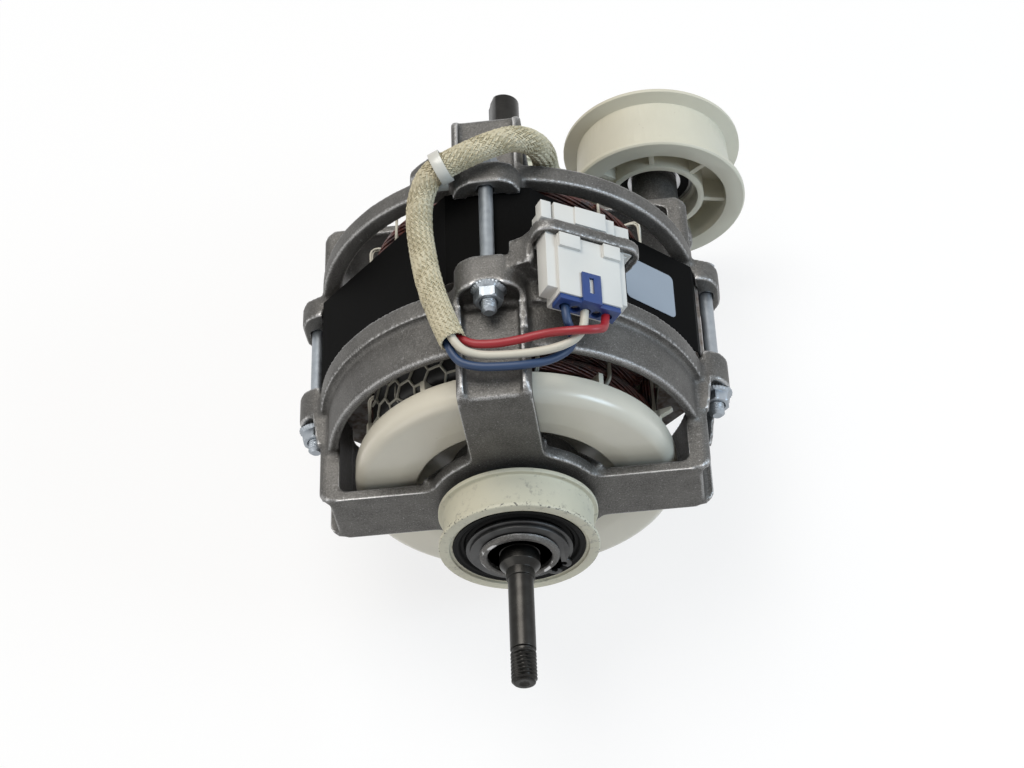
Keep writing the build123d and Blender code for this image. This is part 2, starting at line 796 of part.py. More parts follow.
def make_shaft():
    """The turned shaft, from its threaded fan end to its plain belt end."""
    seat = main_bearing[0] - press_gap
    core_seat = core_seat_r - press_gap
    bearing_end = front_bearing + main_bearing[2]
    return turned(
        (0, front_tip), (fan_shaft_r - tip_chamfer, front_tip), (fan_shaft_r, front_tip + tip_chamfer),
        (fan_shaft_r, thread_start - undercut_width), (fan_shaft_r - undercut_depth, thread_start - undercut_width),
        (fan_shaft_r - undercut_depth, thread_start), (fan_shaft_r, thread_start),
        (fan_shaft_r, collar_end), (collar_r, collar_end), (collar_r, neck_end - (neck_r - collar_r)),
        (neck_r, neck_end), (neck_r, front_bearing - loose_gap), (seat, front_bearing - loose_gap),
        (seat, bearing_end), (core_seat, bearing_end), (core_seat, rear_bearing),
        (seat, rear_bearing), (seat, rear_bearing + main_bearing[2] + loose_gap),
        (belt_neck_r, rear_bearing + main_bearing[2] + loose_gap), (belt_neck_r, belt_shaft_start),
        (belt_shaft_r, belt_shaft_start), (belt_shaft_r, rear_tip - rear_tip_round),
        (belt_shaft_r - rear_tip_round, rear_tip), (0, rear_tip),
    )


def cage_outline(grow):
    """One bar of the rotor cage on +X."""
    deep, wide = cage_bar
    return Pos(cage_bar_r, 0) * Rectangle(deep + 2 * grow, wide + 2 * grow)


def make_rotor_core():
    outline = Circle(rotor_r) - Circle(core_seat_r)
    for index in range(cage_bars):
        outline -= Rot(0, 0, 360 * index / cage_bars) * cage_outline(press_gap)
    return slab(outline, core_front, core_rear)


def make_cage():
    """The cast cage: two end rings with vanes, joined by bars through the rotor core."""
    front = ring(cage_outer_r, cage_inner_r, core_front - press_gap - cage_ring, core_front - press_gap)
    rear = ring(cage_outer_r, cage_inner_r, core_rear + press_gap, core_rear + press_gap + cage_ring)
    cage = front + rear
    bar = slab(cage_outline(0), core_front - 1, core_rear + 1)
    for part in around(cage_bars, bar):
        cage += part
    length, height, width = vane_size
    middle = (cage_inner_r + cage_outer_r) / 2
    for base, outward in ((core_front - cage_ring, -1), (core_rear + cage_ring, 1)):
        span = sorted((base - outward, base + outward * height))
        vane = block((middle - length / 2, middle + length / 2), span, (-width / 2, width / 2))
        for part in around(vane_count, vane):
            cage += part
    return cage


def make_fan():
    """The moulded fan: a domed shroud, straight blades and a hub on the shaft."""
    depth = shroud_back - shroud_front
    section = cup_section(
        shroud_r, depth, shroud_wall, shroud_round, shroud_r - shroud_wall, shroud_round - shroud_wall
    )
    section -= rectangle((-1, shroud_hole_r), (-1, 2 * depth))
    section += rectangle((shroud_hole_r, shroud_hole_r + shroud_wall), (depth - shroud_lip, depth))
    shroud = revolve(section, Axis.Y)
    tip_run = blade_back - shroud_back
    outer = shroud_r - shroud_wall / 2
    blade = [
        (blade_root_r, blade_back - shroud_back), (blade_root_r, depth - shroud_wall / 2),
        (outer - shroud_round, depth - shroud_wall / 2), (outer, depth - shroud_round),
        (outer, 0), (blade_tip_r, -tip_run * 0.7), (blade_tip_r, -tip_run), (fan_plate_r - 1, -tip_run),
        (fan_plate_r - 1, 0), (blade_root_r, 0),
    ]
    fan = shroud
    for part in around(blade_count, upright(blade[1:], blade_wall), blade_first):
        fan += part
    tab = [(outer, 0), (balance_tab_r, -tip_run * 0.7), (balance_tab_r, -tip_run), (outer, -tip_run)]
    fan += at_angle(blade_first + 360 * balance_blade / blade_count, upright(tab, blade_wall))
    fan = Pos(0, shroud_back, 0) * mirror(fan, about=Plane.XZ)
    fan += ring(fan_plate_r, fan_hub_r - 1, blade_back - fan_plate, blade_back)
    hub = rod(fan_hub_r, *fan_hub) - rod(core_seat_r + press_gap, fan_hub[0] - 1, fan_hub[1] + 1)
    plate_bore = rod(core_seat_r + press_gap, shroud_front, fan_hub[1] + 1)
    return (fan + hub) - plate_bore


def make_pulley():
    """The moulded belt idler, with a webbed recess at each side of its hub."""
    middle = (pulley_front + pulley_back) / 2
    crown = pulley_tread_r + pulley_crown
    body = turned(
        (pulley_entry_r, pulley_front + 2.0), (pulley_hub_r, pulley_front + 2.0), (pulley_hub_r, middle - pulley_web / 2),
        (pulley_window_r, middle - pulley_web / 2), (pulley_window_r, pulley_front),
        (pulley_flange_r - 0.6, pulley_front), (pulley_flange_r, pulley_front + 0.6),
        (pulley_flange_r, pulley_front + pulley_flange), (pulley_tread_r, pulley_front + pulley_flange + 1.0),
        (crown, middle), (pulley_tread_r, pulley_back - pulley_flange - 1.0),
        (pulley_flange_r, pulley_back - pulley_flange), (pulley_flange_r, pulley_back - 0.6),
        (pulley_flange_r - 0.6, pulley_back), (pulley_window_r, pulley_back),
        (pulley_window_r, middle + pulley_web / 2), (pulley_hub_r, middle + pulley_web / 2),
        (pulley_hub_r, pulley_back - 2.0), (pulley_entry_r, pulley_back - 2.0),
        (pulley_entry_r, idler_bearing_back), (idler_bearing[1] + press_gap, idler_bearing_back),
        (idler_bearing[1] + press_gap, idler_bearing_front), (pulley_entry_r - 1.5, idler_bearing_front),
        (pulley_entry_r - 1.5, idler_bearing_front - 1.5), (pulley_entry_r, idler_bearing_front - 1.5),
    )
    rib = block((pulley_hub_r - 0.5, pulley_window_r + 0.5), (pulley_front + 3.0, pulley_back - 3.0),
                (-pulley_rib_wall / 2, pulley_rib_wall / 2))
    for part in around(pulley_ribs, rib, 90):
        body += part
    return on_idler(body)


def make_idler_clip():
    clip = Circle(idler_bearing[0] + 1.8) - Circle(idler_bearing[0] - circlip_depth + press_gap)
    clip -= rectangle((-2.2, 2.2), (0, 3 * idler_bearing[0]))
    low = idler_bearing_back + seat_gap + press_gap
    return on_idler(slab(clip, low, low + idler_clip_wall))


def make_plug():
    """The white plug: a body with five cavities, a latch rail and a tongue in the socket."""
    body = slab(rectangle(plug_across, plug_height), plug_front, plug_back)
    body += slab(rectangle(rail_across, rail_height), rail_front, plug_back)
    body += slab(rectangle(flange_across, rail_height), rail_front, plug_back)
    inset = socket_wall + seat_gap
    tongue_across = (socket_across[0] + inset, socket_across[1] - inset)
    tongue_height = (socket_height[0] + inset, socket_height[1] - inset)
    body += slab(rectangle(tongue_across, tongue_height), plug_back, tongue_end)
    for across in snaps_across:
        lug_shape = rectangle(across, (plug_height[1] - snap, plug_height[1] + snap))
        body += slab(lug_shape, plug_back - snap_run, plug_back)
    for across in cavities:
        body -= Pos(across, 0, cavity_height) * rod(cavity_r, plug_front - 1, tongue_end + 1)
    return on_connector(body)


def make_socket():
    """The white socket that the bracket holds, open to the plug at its front."""
    body = slab(rectangle(socket_across, socket_height), socket_front, socket_step)
    step_top = socket_height[1] - socket_drop
    body += slab(rectangle(socket_across, (socket_height[0], step_top)), socket_step, socket_back)
    opening = rectangle(
        (socket_across[0] + socket_wall, socket_across[1] - socket_wall),
        (socket_height[0] + socket_wall, socket_height[1] - socket_wall),
    )
    low_opening = rectangle(
        (socket_across[0] + socket_wall, socket_across[1] - socket_wall),
        (socket_height[0] + socket_wall, step_top - socket_wall),
    )
    body -= slab(opening, socket_front - 1, socket_step - socket_wall)
    body -= slab(low_opening, socket_front, socket_back - socket_floor)
    for left, right, rise in socket_blocks:
        step = rectangle((left, right), (socket_height[1] - 2 * socket_wall, socket_height[1] + rise))
        body += slab(step, tongue_end + seat_gap, socket_back)
    for across in cavities:
        body -= Pos(across, 0, cavity_height) * block((-0.6, 0.6), (socket_back - 2 * socket_floor, socket_back + 1),
                                                      (-0.6, 0.6))
    return on_connector(body)


def make_lock():
    """The blue terminal lock over the plug's front face, with a slotted tab along the plug's top."""
    across = (plug_across[0] + lock_rim, plug_across[1] - lock_rim)
    plate = slab(rectangle(across, lock_height), lock_front, plug_front - press_gap)
    middle = (across[0] + across[1]) / 2
    tab_across = (middle - lock_tab[0] / 2, middle + lock_tab[0] / 2)
    slot_across = (middle - lock_tab_slot / 2, middle + lock_tab_slot / 2)
    top = plug_height[1] + lock_tab[1]
    plate += slab(rectangle(tab_across, (lock_height[1] - lock_rim, top)), lock_front, plug_front - press_gap)
    tab = slab(rectangle(tab_across, (plug_height[1] + press_gap, top)), lock_front, lock_tab_end)
    tab -= slab(rectangle(slot_across, (plug_height[0], top + 1)), plug_front + lock_wall, lock_tab_end - lock_wall)
    plate += tab
    for across_at in cavities:
        plate -= Pos(across_at, 0, cavity_height) * rod(cavity_r, lock_front - 1, plug_front + 1)
    return on_connector(plate)


def make_plug_terminals():
    """A crimped terminal at the end of each lead, inside the plug."""
    used = (cavities[0], cavities[2], cavities[4])
    low = lead_end + seat_gap
    high = tongue_end - 1
    solids = []
    for across in used:
        sleeve = rod(cavity_r - seat_gap, low, high) - slab(Rectangle(1.5, 1.5), socket_step - 4, high + 1)
        solids.append(on_connector(Pos(across, 0, cavity_height) * sleeve))
    return solids


def make_socket_pins():
    pins = []
    for across in cavities:
        square = Rectangle(2 * pin_half, 2 * pin_half)
        pin = slab(square, socket_step - 3.6, socket_back + 2.0)
        pins.append(on_connector(Pos(across, 0, cavity_height) * pin))
    return pins


def cord_path(route):
    """Straight runs joined by tangent arcs, whose radii follow from the runs and the turns."""
    points = [Vector(*point) for point in route]
    radii = []
    for before, corner, after in zip(points, points[1:], points[2:]):
        run = min((corner - before).length, (after - corner).length)
        turn = radians((corner - before).get_angle(after - corner))
        radii.append(bend_share * run / tan(turn / 2))
    return FilletPolyline(*points, radius=radii), radii


def lead_route(route, across):
    """A lead's route with its straight end in one cavity of the plug."""
    run_up = Rot(0, connector_tilt, 0) * Pos(across, lock_front - lead_run_up, cavity_height)
    end = Rot(0, connector_tilt, 0) * Pos(across, lead_end, cavity_height)
    return [*route, tuple(run_up.position), tuple(end.position)]


def make_cord(name, route, outer, inner=0.0):
    path, radii = cord_path(route)
    section = Circle(outer) - Circle(inner) if inner else Circle(outer)
    solid = sweep_section(section, path)
    expected = section.area * path.length
    print(name, "length", round(path.length, 1), "volume share", round(solid.volume / expected, 4))
    print(name, "bend radii", [round(radius, 1) for radius in radii])
    return solid, path


def least_gap(path, other, width, step=1.0):
    """The least space between two tubes whose radii add up to a width."""
    others = path_points(other, step)
    return min((point - far).length for point in path_points(path, step) for far in others) - width


def make_tie(path):
    """A nylon tie: a band round the sleeve and a knot with a pin through the lug."""
    at = Vector(*tie_at)
    share = min((index / 400 for index in range(401)), key=lambda value: (path @ value - at).length)
    band_at = Plane(origin=path @ share, z_dir=path % share)
    inner = sleeve_r + loose_gap
    band = extrude(band_at * (Circle(inner + tie_wall) - Circle(inner)), tie_width / 2, both=True)
    band_hole = extrude(band_at * Circle(inner), 2 * tie_width, both=True)
    wide, deep, high = tie_knot_size
    knot = Pos(*tie_knot) * Box(wide, deep, high)
    strap_wide, strap_deep, strap_high = tie_strap
    right, back, top = (centre + size / 2 for centre, size in zip(tie_knot, tie_knot_size))
    knot += block((right - strap_wide, right), (back - strap_deep, back), (top - 1, top - 1 + strap_high))
    pin = Pos(tie_knot[0], 0, tie_knot[2]) * rod(lug_hole_r - seat_gap, tie_knot[1], lug[1] + 1.5)
    stop = Pos(tie_knot[0], 0, tie_knot[2]) * cone(lug_hole_r + 0.5, lug_hole_r - 0.5, lug[1] + 0.3, lug[1] + 2.0)
    knot -= block((-beyond, 0), (lug[0] - seat_gap, lug[0] + beyond), (0, beyond))
    return (band + (knot - band_hole)) + pin + stop


# Stator
save("stator_core", make_core())
save("core_wrap", make_wrap())
save("slot_liners", *make_liners())
save("main_winding", make_winding("main_winding", main_r, 0.0))
save("auxiliary_winding", make_winding("auxiliary_winding", auxiliary_r, 90.0))
save("front_lacing", *make_lacing(core_front, -1))
save("rear_lacing", *make_lacing(core_rear, 1))
save("thermal_protector", make_protector())

# End bells and their fasteners
save("front_bell", make_front_bell())
save("rear_bell", make_rear_bell())
save("through_bolts", *around(4, make_bolt()))
save("flange_nuts", *around(4, make_nut()))

# Bearings
for place, front in (("front", front_bearing), ("rear", rear_bearing)):
    save(f"{place}_bearing_outer", outer_race(main_bearing, front))
    save(f"{place}_bearing_inner", inner_race(main_bearing, front))
    save(f"{place}_bearing_balls", *bearing_balls(main_bearing, front, main_balls))
save("bearing_spring", make_spring())

# Mounting rings
for place, centre, outward in (("front", 0.0, -1), ("rear", rear_ring_centre, 1)):
    save(f"{place}_mount_ring", make_mount_ring(centre))
    save(f"{place}_rubber_ring", make_rubber(centre, outward))
    save(f"{place}_ring_washer", make_ring_washer(centre, outward))
    save(f"{place}_circlip", make_circlip(centre, outward))

# Rotor
save("motor_shaft", make_shaft())
save("rotor_core", make_rotor_core())
save("rotor_cage", make_cage())
save("cooling_fan", make_fan())

# Belt idler
save("idler_pulley", make_pulley())
save("idler_bearing_outer", on_idler(outer_race(idler_bearing, idler_bearing_front)))
save("idler_bearing_inner", on_idler(inner_race(idler_bearing, idler_bearing_front)))
save("idler_bearing_balls", *[on_idler(b) for b in bearing_balls(idler_bearing, idler_bearing_front, idler_balls)])
save("idler_circlip", make_idler_clip())

# Connector
save("connector_plug", make_plug())
save("connector_socket", make_socket())
save("terminal_lock", make_lock())
save("plug_terminals", *make_plug_terminals())
save("socket_pins", *make_socket_pins())

# Leads, sleeve and tie
red, red_path = make_cord("lead_red", lead_route(lead_red_route, cavities[4]), lead_r)
white, white_path = make_cord("lead_white", lead_route(lead_white_route, cavities[2]), lead_r)
blue, blue_path = make_cord("lead_blue", lead_route(lead_blue_route, cavities[0]), lead_r)
sleeve, sleeve_path = make_cord("lead_sleeve", sleeve_route, sleeve_r, sleeve_r - sleeve_wall)
print("red to white gap", round(least_gap(red_path, white_path, 2 * lead_r), 2))
print("white to blue gap", round(least_gap(white_path, blue_path, 2 * lead_r), 2))
print("red to blue gap", round(least_gap(red_path, blue_path, 2 * lead_r), 2))
save("lead_red", red)
save("lead_white", white)
save("lead_blue", blue)
save("lead_sleeve", sleeve)
save("sleeve_tie", make_tie(sleeve_path))
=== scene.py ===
# %% [markdown]
# # An induction motor from a tumble dryer
# The motor has two cast end bells, a stack of steel sheets between them, and a shaft that comes out at
# both ends. This lesson dresses the measured solids: it keeps those whose shape is right, and replaces
# those that need more detail, such as the castings, the windings, the fan and the woven sleeve.

import json
import math

import bmesh
import bpy
from mathutils import Matrix, Vector
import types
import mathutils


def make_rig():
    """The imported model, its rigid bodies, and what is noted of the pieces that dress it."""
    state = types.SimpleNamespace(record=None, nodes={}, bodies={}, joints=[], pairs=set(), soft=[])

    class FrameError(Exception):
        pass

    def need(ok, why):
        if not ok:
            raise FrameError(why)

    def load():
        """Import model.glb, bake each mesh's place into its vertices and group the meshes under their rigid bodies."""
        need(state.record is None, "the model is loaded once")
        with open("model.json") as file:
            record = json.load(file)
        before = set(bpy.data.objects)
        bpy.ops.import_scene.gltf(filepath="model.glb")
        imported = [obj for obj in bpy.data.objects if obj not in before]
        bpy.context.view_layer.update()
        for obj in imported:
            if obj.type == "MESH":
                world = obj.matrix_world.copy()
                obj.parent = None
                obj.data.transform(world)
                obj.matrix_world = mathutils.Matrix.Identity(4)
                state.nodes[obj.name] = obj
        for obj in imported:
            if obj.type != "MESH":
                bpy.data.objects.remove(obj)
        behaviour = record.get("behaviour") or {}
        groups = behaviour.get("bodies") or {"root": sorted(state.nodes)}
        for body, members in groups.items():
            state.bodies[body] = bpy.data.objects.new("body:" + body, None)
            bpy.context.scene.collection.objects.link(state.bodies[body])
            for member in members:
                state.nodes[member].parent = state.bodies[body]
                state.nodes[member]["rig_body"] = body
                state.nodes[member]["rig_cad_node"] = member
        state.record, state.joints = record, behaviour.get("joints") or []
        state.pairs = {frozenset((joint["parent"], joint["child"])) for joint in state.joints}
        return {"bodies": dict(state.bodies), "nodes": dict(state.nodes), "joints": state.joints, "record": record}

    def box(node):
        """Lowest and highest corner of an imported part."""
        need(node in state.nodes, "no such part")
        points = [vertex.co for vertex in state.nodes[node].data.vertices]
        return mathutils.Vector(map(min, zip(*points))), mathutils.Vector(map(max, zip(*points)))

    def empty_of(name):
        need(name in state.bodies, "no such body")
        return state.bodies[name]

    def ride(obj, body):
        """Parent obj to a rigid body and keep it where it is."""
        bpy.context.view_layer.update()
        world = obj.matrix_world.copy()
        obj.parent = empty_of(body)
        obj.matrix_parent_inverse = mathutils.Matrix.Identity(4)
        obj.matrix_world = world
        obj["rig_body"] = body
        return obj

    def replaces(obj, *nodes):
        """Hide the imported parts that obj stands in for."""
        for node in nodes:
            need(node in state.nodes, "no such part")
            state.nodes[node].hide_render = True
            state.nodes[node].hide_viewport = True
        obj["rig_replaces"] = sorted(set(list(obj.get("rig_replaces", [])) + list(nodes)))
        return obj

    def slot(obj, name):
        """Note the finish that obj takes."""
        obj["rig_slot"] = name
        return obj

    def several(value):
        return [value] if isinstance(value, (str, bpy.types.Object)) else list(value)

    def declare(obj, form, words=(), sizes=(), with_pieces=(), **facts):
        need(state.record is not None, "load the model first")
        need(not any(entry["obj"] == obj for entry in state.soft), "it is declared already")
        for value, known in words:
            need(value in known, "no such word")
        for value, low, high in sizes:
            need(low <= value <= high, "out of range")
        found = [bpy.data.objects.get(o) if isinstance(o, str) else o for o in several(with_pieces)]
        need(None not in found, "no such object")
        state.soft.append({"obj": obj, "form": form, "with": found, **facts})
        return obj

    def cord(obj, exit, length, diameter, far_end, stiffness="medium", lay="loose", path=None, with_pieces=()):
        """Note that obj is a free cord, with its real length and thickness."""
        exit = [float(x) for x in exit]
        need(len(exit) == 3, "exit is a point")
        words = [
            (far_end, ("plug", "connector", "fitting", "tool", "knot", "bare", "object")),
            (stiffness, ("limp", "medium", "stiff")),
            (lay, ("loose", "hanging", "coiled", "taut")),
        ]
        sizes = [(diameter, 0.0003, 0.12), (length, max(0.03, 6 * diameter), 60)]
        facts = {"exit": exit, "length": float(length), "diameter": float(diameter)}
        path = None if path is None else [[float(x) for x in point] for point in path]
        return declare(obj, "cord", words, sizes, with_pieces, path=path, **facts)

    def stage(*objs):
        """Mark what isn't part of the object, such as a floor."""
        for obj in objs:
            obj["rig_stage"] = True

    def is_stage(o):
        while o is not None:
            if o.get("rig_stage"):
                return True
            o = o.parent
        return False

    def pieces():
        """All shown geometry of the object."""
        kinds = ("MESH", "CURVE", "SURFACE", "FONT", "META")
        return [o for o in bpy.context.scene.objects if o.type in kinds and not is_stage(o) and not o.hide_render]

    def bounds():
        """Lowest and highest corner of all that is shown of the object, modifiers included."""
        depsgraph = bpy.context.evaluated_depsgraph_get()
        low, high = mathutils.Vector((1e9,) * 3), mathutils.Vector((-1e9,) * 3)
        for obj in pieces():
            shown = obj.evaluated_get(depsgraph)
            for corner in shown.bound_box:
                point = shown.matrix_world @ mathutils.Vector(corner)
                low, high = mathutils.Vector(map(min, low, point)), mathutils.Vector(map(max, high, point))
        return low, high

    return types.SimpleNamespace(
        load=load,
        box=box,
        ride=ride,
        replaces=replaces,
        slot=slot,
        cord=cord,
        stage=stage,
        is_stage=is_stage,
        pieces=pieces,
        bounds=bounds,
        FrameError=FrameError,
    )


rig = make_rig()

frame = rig.load()
solid_box = [list(corner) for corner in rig.bounds()]
nodes = frame["nodes"]
MM = 0.001
print("nodes", len(nodes), "box in mm", [[round(v / MM, 1) for v in corner] for corner in solid_box])


def put(name, data):
    """Puts a camera, a lamp, a curve or a mesh into the scene."""
    thing = bpy.data.objects.new(name, data)
    bpy.context.scene.collection.objects.link(thing)
    return thing


def baked(thing):
    """The mesh that a thing and its modifiers make."""
    live = thing.evaluated_get(bpy.context.evaluated_depsgraph_get())
    return bpy.data.meshes.new_from_object(live)


# %% [markdown]
# ## The camera
# The photograph was taken from above the fan end, with the shaft pointing down and a little right. The
# camera's place and its three directions were worked out from the circles of the rings and the shaft.
# It could be aimed by eye, but a camera that is solved once lets every later piece be checked by place.

# %% Place the camera
camera_data = bpy.data.cameras.new("camera")
camera_data.sensor_width = 36.0
camera_data.lens = 77.57
camera = put("camera", camera_data)
bpy.context.scene.camera = camera
camera_place = Vector((57.9237, -364.1667, 585.5305)) * MM
camera_right = Vector((0.99223642, -0.03027146, -0.12062555))
camera_up = Vector((0.0946261, 0.8131524, 0.57430747))
camera_ahead = Vector((-0.08070183, 0.58126311, -0.8097039))
turn = Matrix((camera_right, camera_up, -camera_ahead)).transposed()
camera.matrix_world = Matrix.Translation(camera_place) @ turn.to_4x4()

# %% [markdown]
# ## The cords' own lines
# The cords come first, because everything else has to leave room for them. Three leads come out of the
# woven sleeve's mouth and bend over into the plug, red above white above blue. Each lead is a curve with
# the wire's thickness, which bends as evenly as a real lead does. The sleeve's tube is made further down.

# %% Three leads and the sleeve's line
CONNECTOR_TILT = 32.0
CAVITY_HEIGHT = 71.9
RUN_UP_AT = 28.4
LEAD_END_AT = 44.0
LEAD_RADIUS = 1.3
SLEEVE_RADIUS = 4.25


def on_connector(across, station, height):
    """A point in the connector's own tilted frame, in the motor's frame."""
    turned = Matrix.Rotation(math.radians(CONNECTOR_TILT), 3, "Y") @ Vector((across, 0, height))
    return (turned.x, station, turned.z)


def lead_route(route, across):
    """A lead's route with its straight end in the plug's cavity."""
    return [*route, *(on_connector(across, at, CAVITY_HEIGHT) for at in (RUN_UP_AT, LEAD_END_AT))]


def cord_line(name, route, radius=0.0):
    """A smooth curve that leans on a route's points, given in millimetres. The points carry the radius."""
    data = bpy.data.curves.new(name, "CURVE")
    data.dimensions = "3D"
    spline = data.splines.new("NURBS")
    spline.points.add(len(route) - 1)
    for point, place in zip(spline.points, route):
        point.co = (*(Vector(place) * MM), 1)
        point.radius = radius * MM
    spline.order_u = 3
    spline.use_endpoint_u = True
    spline.resolution_u = 12
    data.bevel_depth = 1.0 if radius else 0.0
    data.bevel_resolution = 6
    data.use_fill_caps = radius > 0
    return put(name, data)


def along_route(route):
    """The points that Blender draws along a route, and the run's length, in metres."""
    line = cord_line("line", route)
    places = [vertex.co.copy() for vertex in baked(line).vertices]
    bpy.data.objects.remove(line)
    return places, sum((after - before).length for before, after in zip(places, places[1:]))


routes = {
    "lead_red": lead_route([
        (-10.5, 29.0, 65.9), (-7.1, 24.3, 66.9), (0.4, 23.1, 67.0), (8.0, 23.7, 66.9),
        (16.0, 25.0, 67.3), (24.6, 23.3, 69.9), (32.4, 23.6, 68.6),
    ], -3.9),
    "lead_white": lead_route([
        (-11.9, 27.8, 68.8), (-9.4, 22.2, 67.7), (-3.6, 20.5, 65.6), (4.8, 20.0, 65.2),
        (12.8, 20.0, 65.2), (20.6, 20.6, 65.8), (26.4, 23.0, 66.4),
    ], -10.9),
    "lead_blue": lead_route([
        (-13.2, 27.4, 65.9), (-11.1, 20.0, 65.2), (-4.8, 17.2, 64.6), (3.0, 16.7, 64.2),
        (10.6, 17.0, 63.6), (17.6, 19.0, 61.8), (24.2, 23.4, 61.0), (24.4, 26.2, 65.4),
    ], -17.9),
}
leads = {}
for name, route in routes.items():
    lead_length = along_route(route)[1]
    leads[name] = cord_line(name + "_wire", route, LEAD_RADIUS)
    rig.ride(leads[name], "housing")
    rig.replaces(leads[name], name)
    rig.cord(leads[name], exit=Vector(route[0]) * MM, length=lead_length, diameter=2 * LEAD_RADIUS * MM,
            far_end="object", stiffness="medium", lay="loose")
    print(name, "length in mm", round(lead_length / MM, 1))

sleeve_points, sleeve_length = along_route([
    (18.6, 102.6, 44.6), (18.4, 103.0, 54.6), (17.8, 100.2, 63.6), (15.0, 97.8, 70.6), (9.6, 96.2, 74.9),
    (0.6, 92.6, 75.8), (-8.6, 88.2, 75.8), (-16.4, 85.6, 73.8), (-20.4, 79.6, 68.2), (-20.9, 70.0, 65.4),
    (-19.2, 56.0, 65.3), (-15.9, 39.6, 67.0), (-10.8, 25.6, 66.9),
])
print("sleeve length in mm", round(sleeve_length / MM, 1), "points", len(sleeve_points))

# %% [markdown]
# ## Arithmetic on sockets
# A procedural finish is mostly sums: a mask times a colour, a wave plus some noise. One small class
# wraps a node's socket so that Python's own operators add the Math nodes, and one method makes every
# other node. Materials, the world and the Geometry Nodes trees are all wired with it.


# %% A socket that does arithmetic
def both_ways(operation):
    """The Math node of an operator, and of its reflected form."""
    return (lambda self, other: self.home.maths(operation, self, other),
            lambda self, other: self.home.maths(operation, other, self))


class Value:
    """A node's output that can be added, multiplied and compared."""

    __add__, __radd__ = both_ways("ADD")
    __sub__, __rsub__ = both_ways("SUBTRACT")
    __mul__, __rmul__ = both_ways("MULTIPLY")
    __truediv__, __rtruediv__ = both_ways("DIVIDE")
    __pow__, __rpow__ = both_ways("POWER")
    at_least = both_ways("MAXIMUM")[0]

    def __init__(self, home, socket):
        self.home = home
        self.socket = socket

    def other(self, output):
        """Another output of the same node."""
        return Value(self.home, self.socket.node.outputs[output])


class Wiring:
    """A node tree under construction."""

    def __init__(self, tree):
        self.tree = tree

    def node(self, kind, inputs=None, output=0, **settings):
        """Adds one node: its settings first, then the values or links of its sockets."""
        made = self.tree.nodes.new(kind)
        for key, value in settings.items():
            setattr(made, key, value)
        for key, value in (inputs or {}).items():
            self.feed(made.inputs[key], value)
        return Value(self, made.outputs[output])

    def feed(self, socket, value):
        if isinstance(value, Value):
            self.tree.links.new(value.socket, socket)
        elif isinstance(value, tuple) and socket.type == "RGBA":
            socket.default_value = (*value, 1)
        else:
            socket.default_value = value

    def maths(self, operation, *values):
        return self.node("ShaderNodeMath", dict(enumerate(values)), operation=operation)

    def vectors(self, operation, *values):
        return self.node("ShaderNodeVectorMath", dict(enumerate(values)), operation=operation)

    def seen(self):
        """1 for camera, glossy and transmission rays, which take the picture, and 0 for those that light."""
        camera_ray = self.node("ShaderNodeLightPath", output="Is Camera Ray")
        glossy_ray = camera_ray.other("Is Glossy Ray")
        return camera_ray.at_least(glossy_ray).at_least(camera_ray.other("Is Transmission Ray"))

    def blend(self, share, first, second):
        """A shader between two shaders."""
        return self.node("ShaderNodeMixShader", {0: share, 1: first, 2: second})


# %% [markdown]
# ## A finish's own tools
# Every finish starts from the Principled shader. The patterns read Object coordinates, so they stay on
# the piece when a body turns, and their sizes are given in millimetres, as one would measure a stain.

# %% A material under construction
finishes = {}


class Finish(Wiring):
    """A material with its Principled shader and its Object coordinates."""

    def __init__(self, name):
        finishes[name] = bpy.data.materials.new(name)
        finishes[name].use_nodes = True
        super().__init__(finishes[name].node_tree)
        self.shader = self.tree.nodes["Principled BSDF"]
        self.place = self.node("ShaderNodeTexCoord", output="Object")

    def set(self, **inputs):
        """Sets the shader's own sockets, named with underscores for spaces."""
        for key, value in inputs.items():
            self.feed(self.shader.inputs[key.replace("_", " ").title().replace("Ior", "IOR")], value)

    def noise(self, size, detail=3.0, roughness=0.55, seed=0.0):
        """Soft noise from 0 to 1 whose blobs are about one size, in millimetres."""
        return self.node("ShaderNodeTexNoise", {
            "Vector": self.vectors("ADD", self.place, (seed, seed, seed)) if seed else self.place,
            "Scale": 1 / (size * MM), "Detail": detail, "Roughness": roughness,
        })

    def ramp(self, value, low, high):
        """Goes evenly from 0 at one value to 1 at another."""
        return self.node("ShaderNodeMapRange", {"Value": value, "From Min": low, "From Max": high})

    def spots(self, low, high, *noise, **more):
        """The spots where noise passes two levels: none at the low one, full at the high one."""
        return self.ramp(self.noise(*noise, **more), low, high)

    def mix(self, share, first, second):
        """A colour between two colours."""
        return self.node("ShaderNodeMix", {0: share, 6: first, 7: second}, 2, data_type="RGBA")

    def axis(self, name):
        """One coordinate of the place, in millimetres."""
        return self.node("ShaderNodeSeparateXYZ", {0: self.place}, name) * (1 / MM)

    def bump(self, height, depth, strength=1.0):
        """Raises the surface by a height from 0 to 1, whose full depth is in millimetres."""
        inputs = {"Height": height, "Distance": depth * MM, "Strength": strength}
        self.set(normal=self.node("ShaderNodeBump", inputs))


# %% [markdown]
# ## The light
# Soft daylight from above, with one window that is a little blue on the right, gives the broad
# highlights on the fan's dome. The world looks white to the camera by its own colour, so no lamp has to
# be turned up for it, and the light that it gives is weaker and a little warm.

# %% Light the room
MIDDLE = Vector((0, 60, 0))
LAMPS = {
    "ceiling": ((-150, 250, 900), 560, 6.8, (1.0, 0.965, 0.915)),
    "window": ((850, -150, 500), 420, 5.8, (0.66, 0.83, 1.0)),
    "bounce": ((-700, -500, 250), 600, 1.5, (1.0, 0.97, 0.93)),
}
ROOM_COLOUR, ROOM_STRENGTH = (1.0, 0.98, 0.94), 0.25
WHITE = (1, 1, 1)

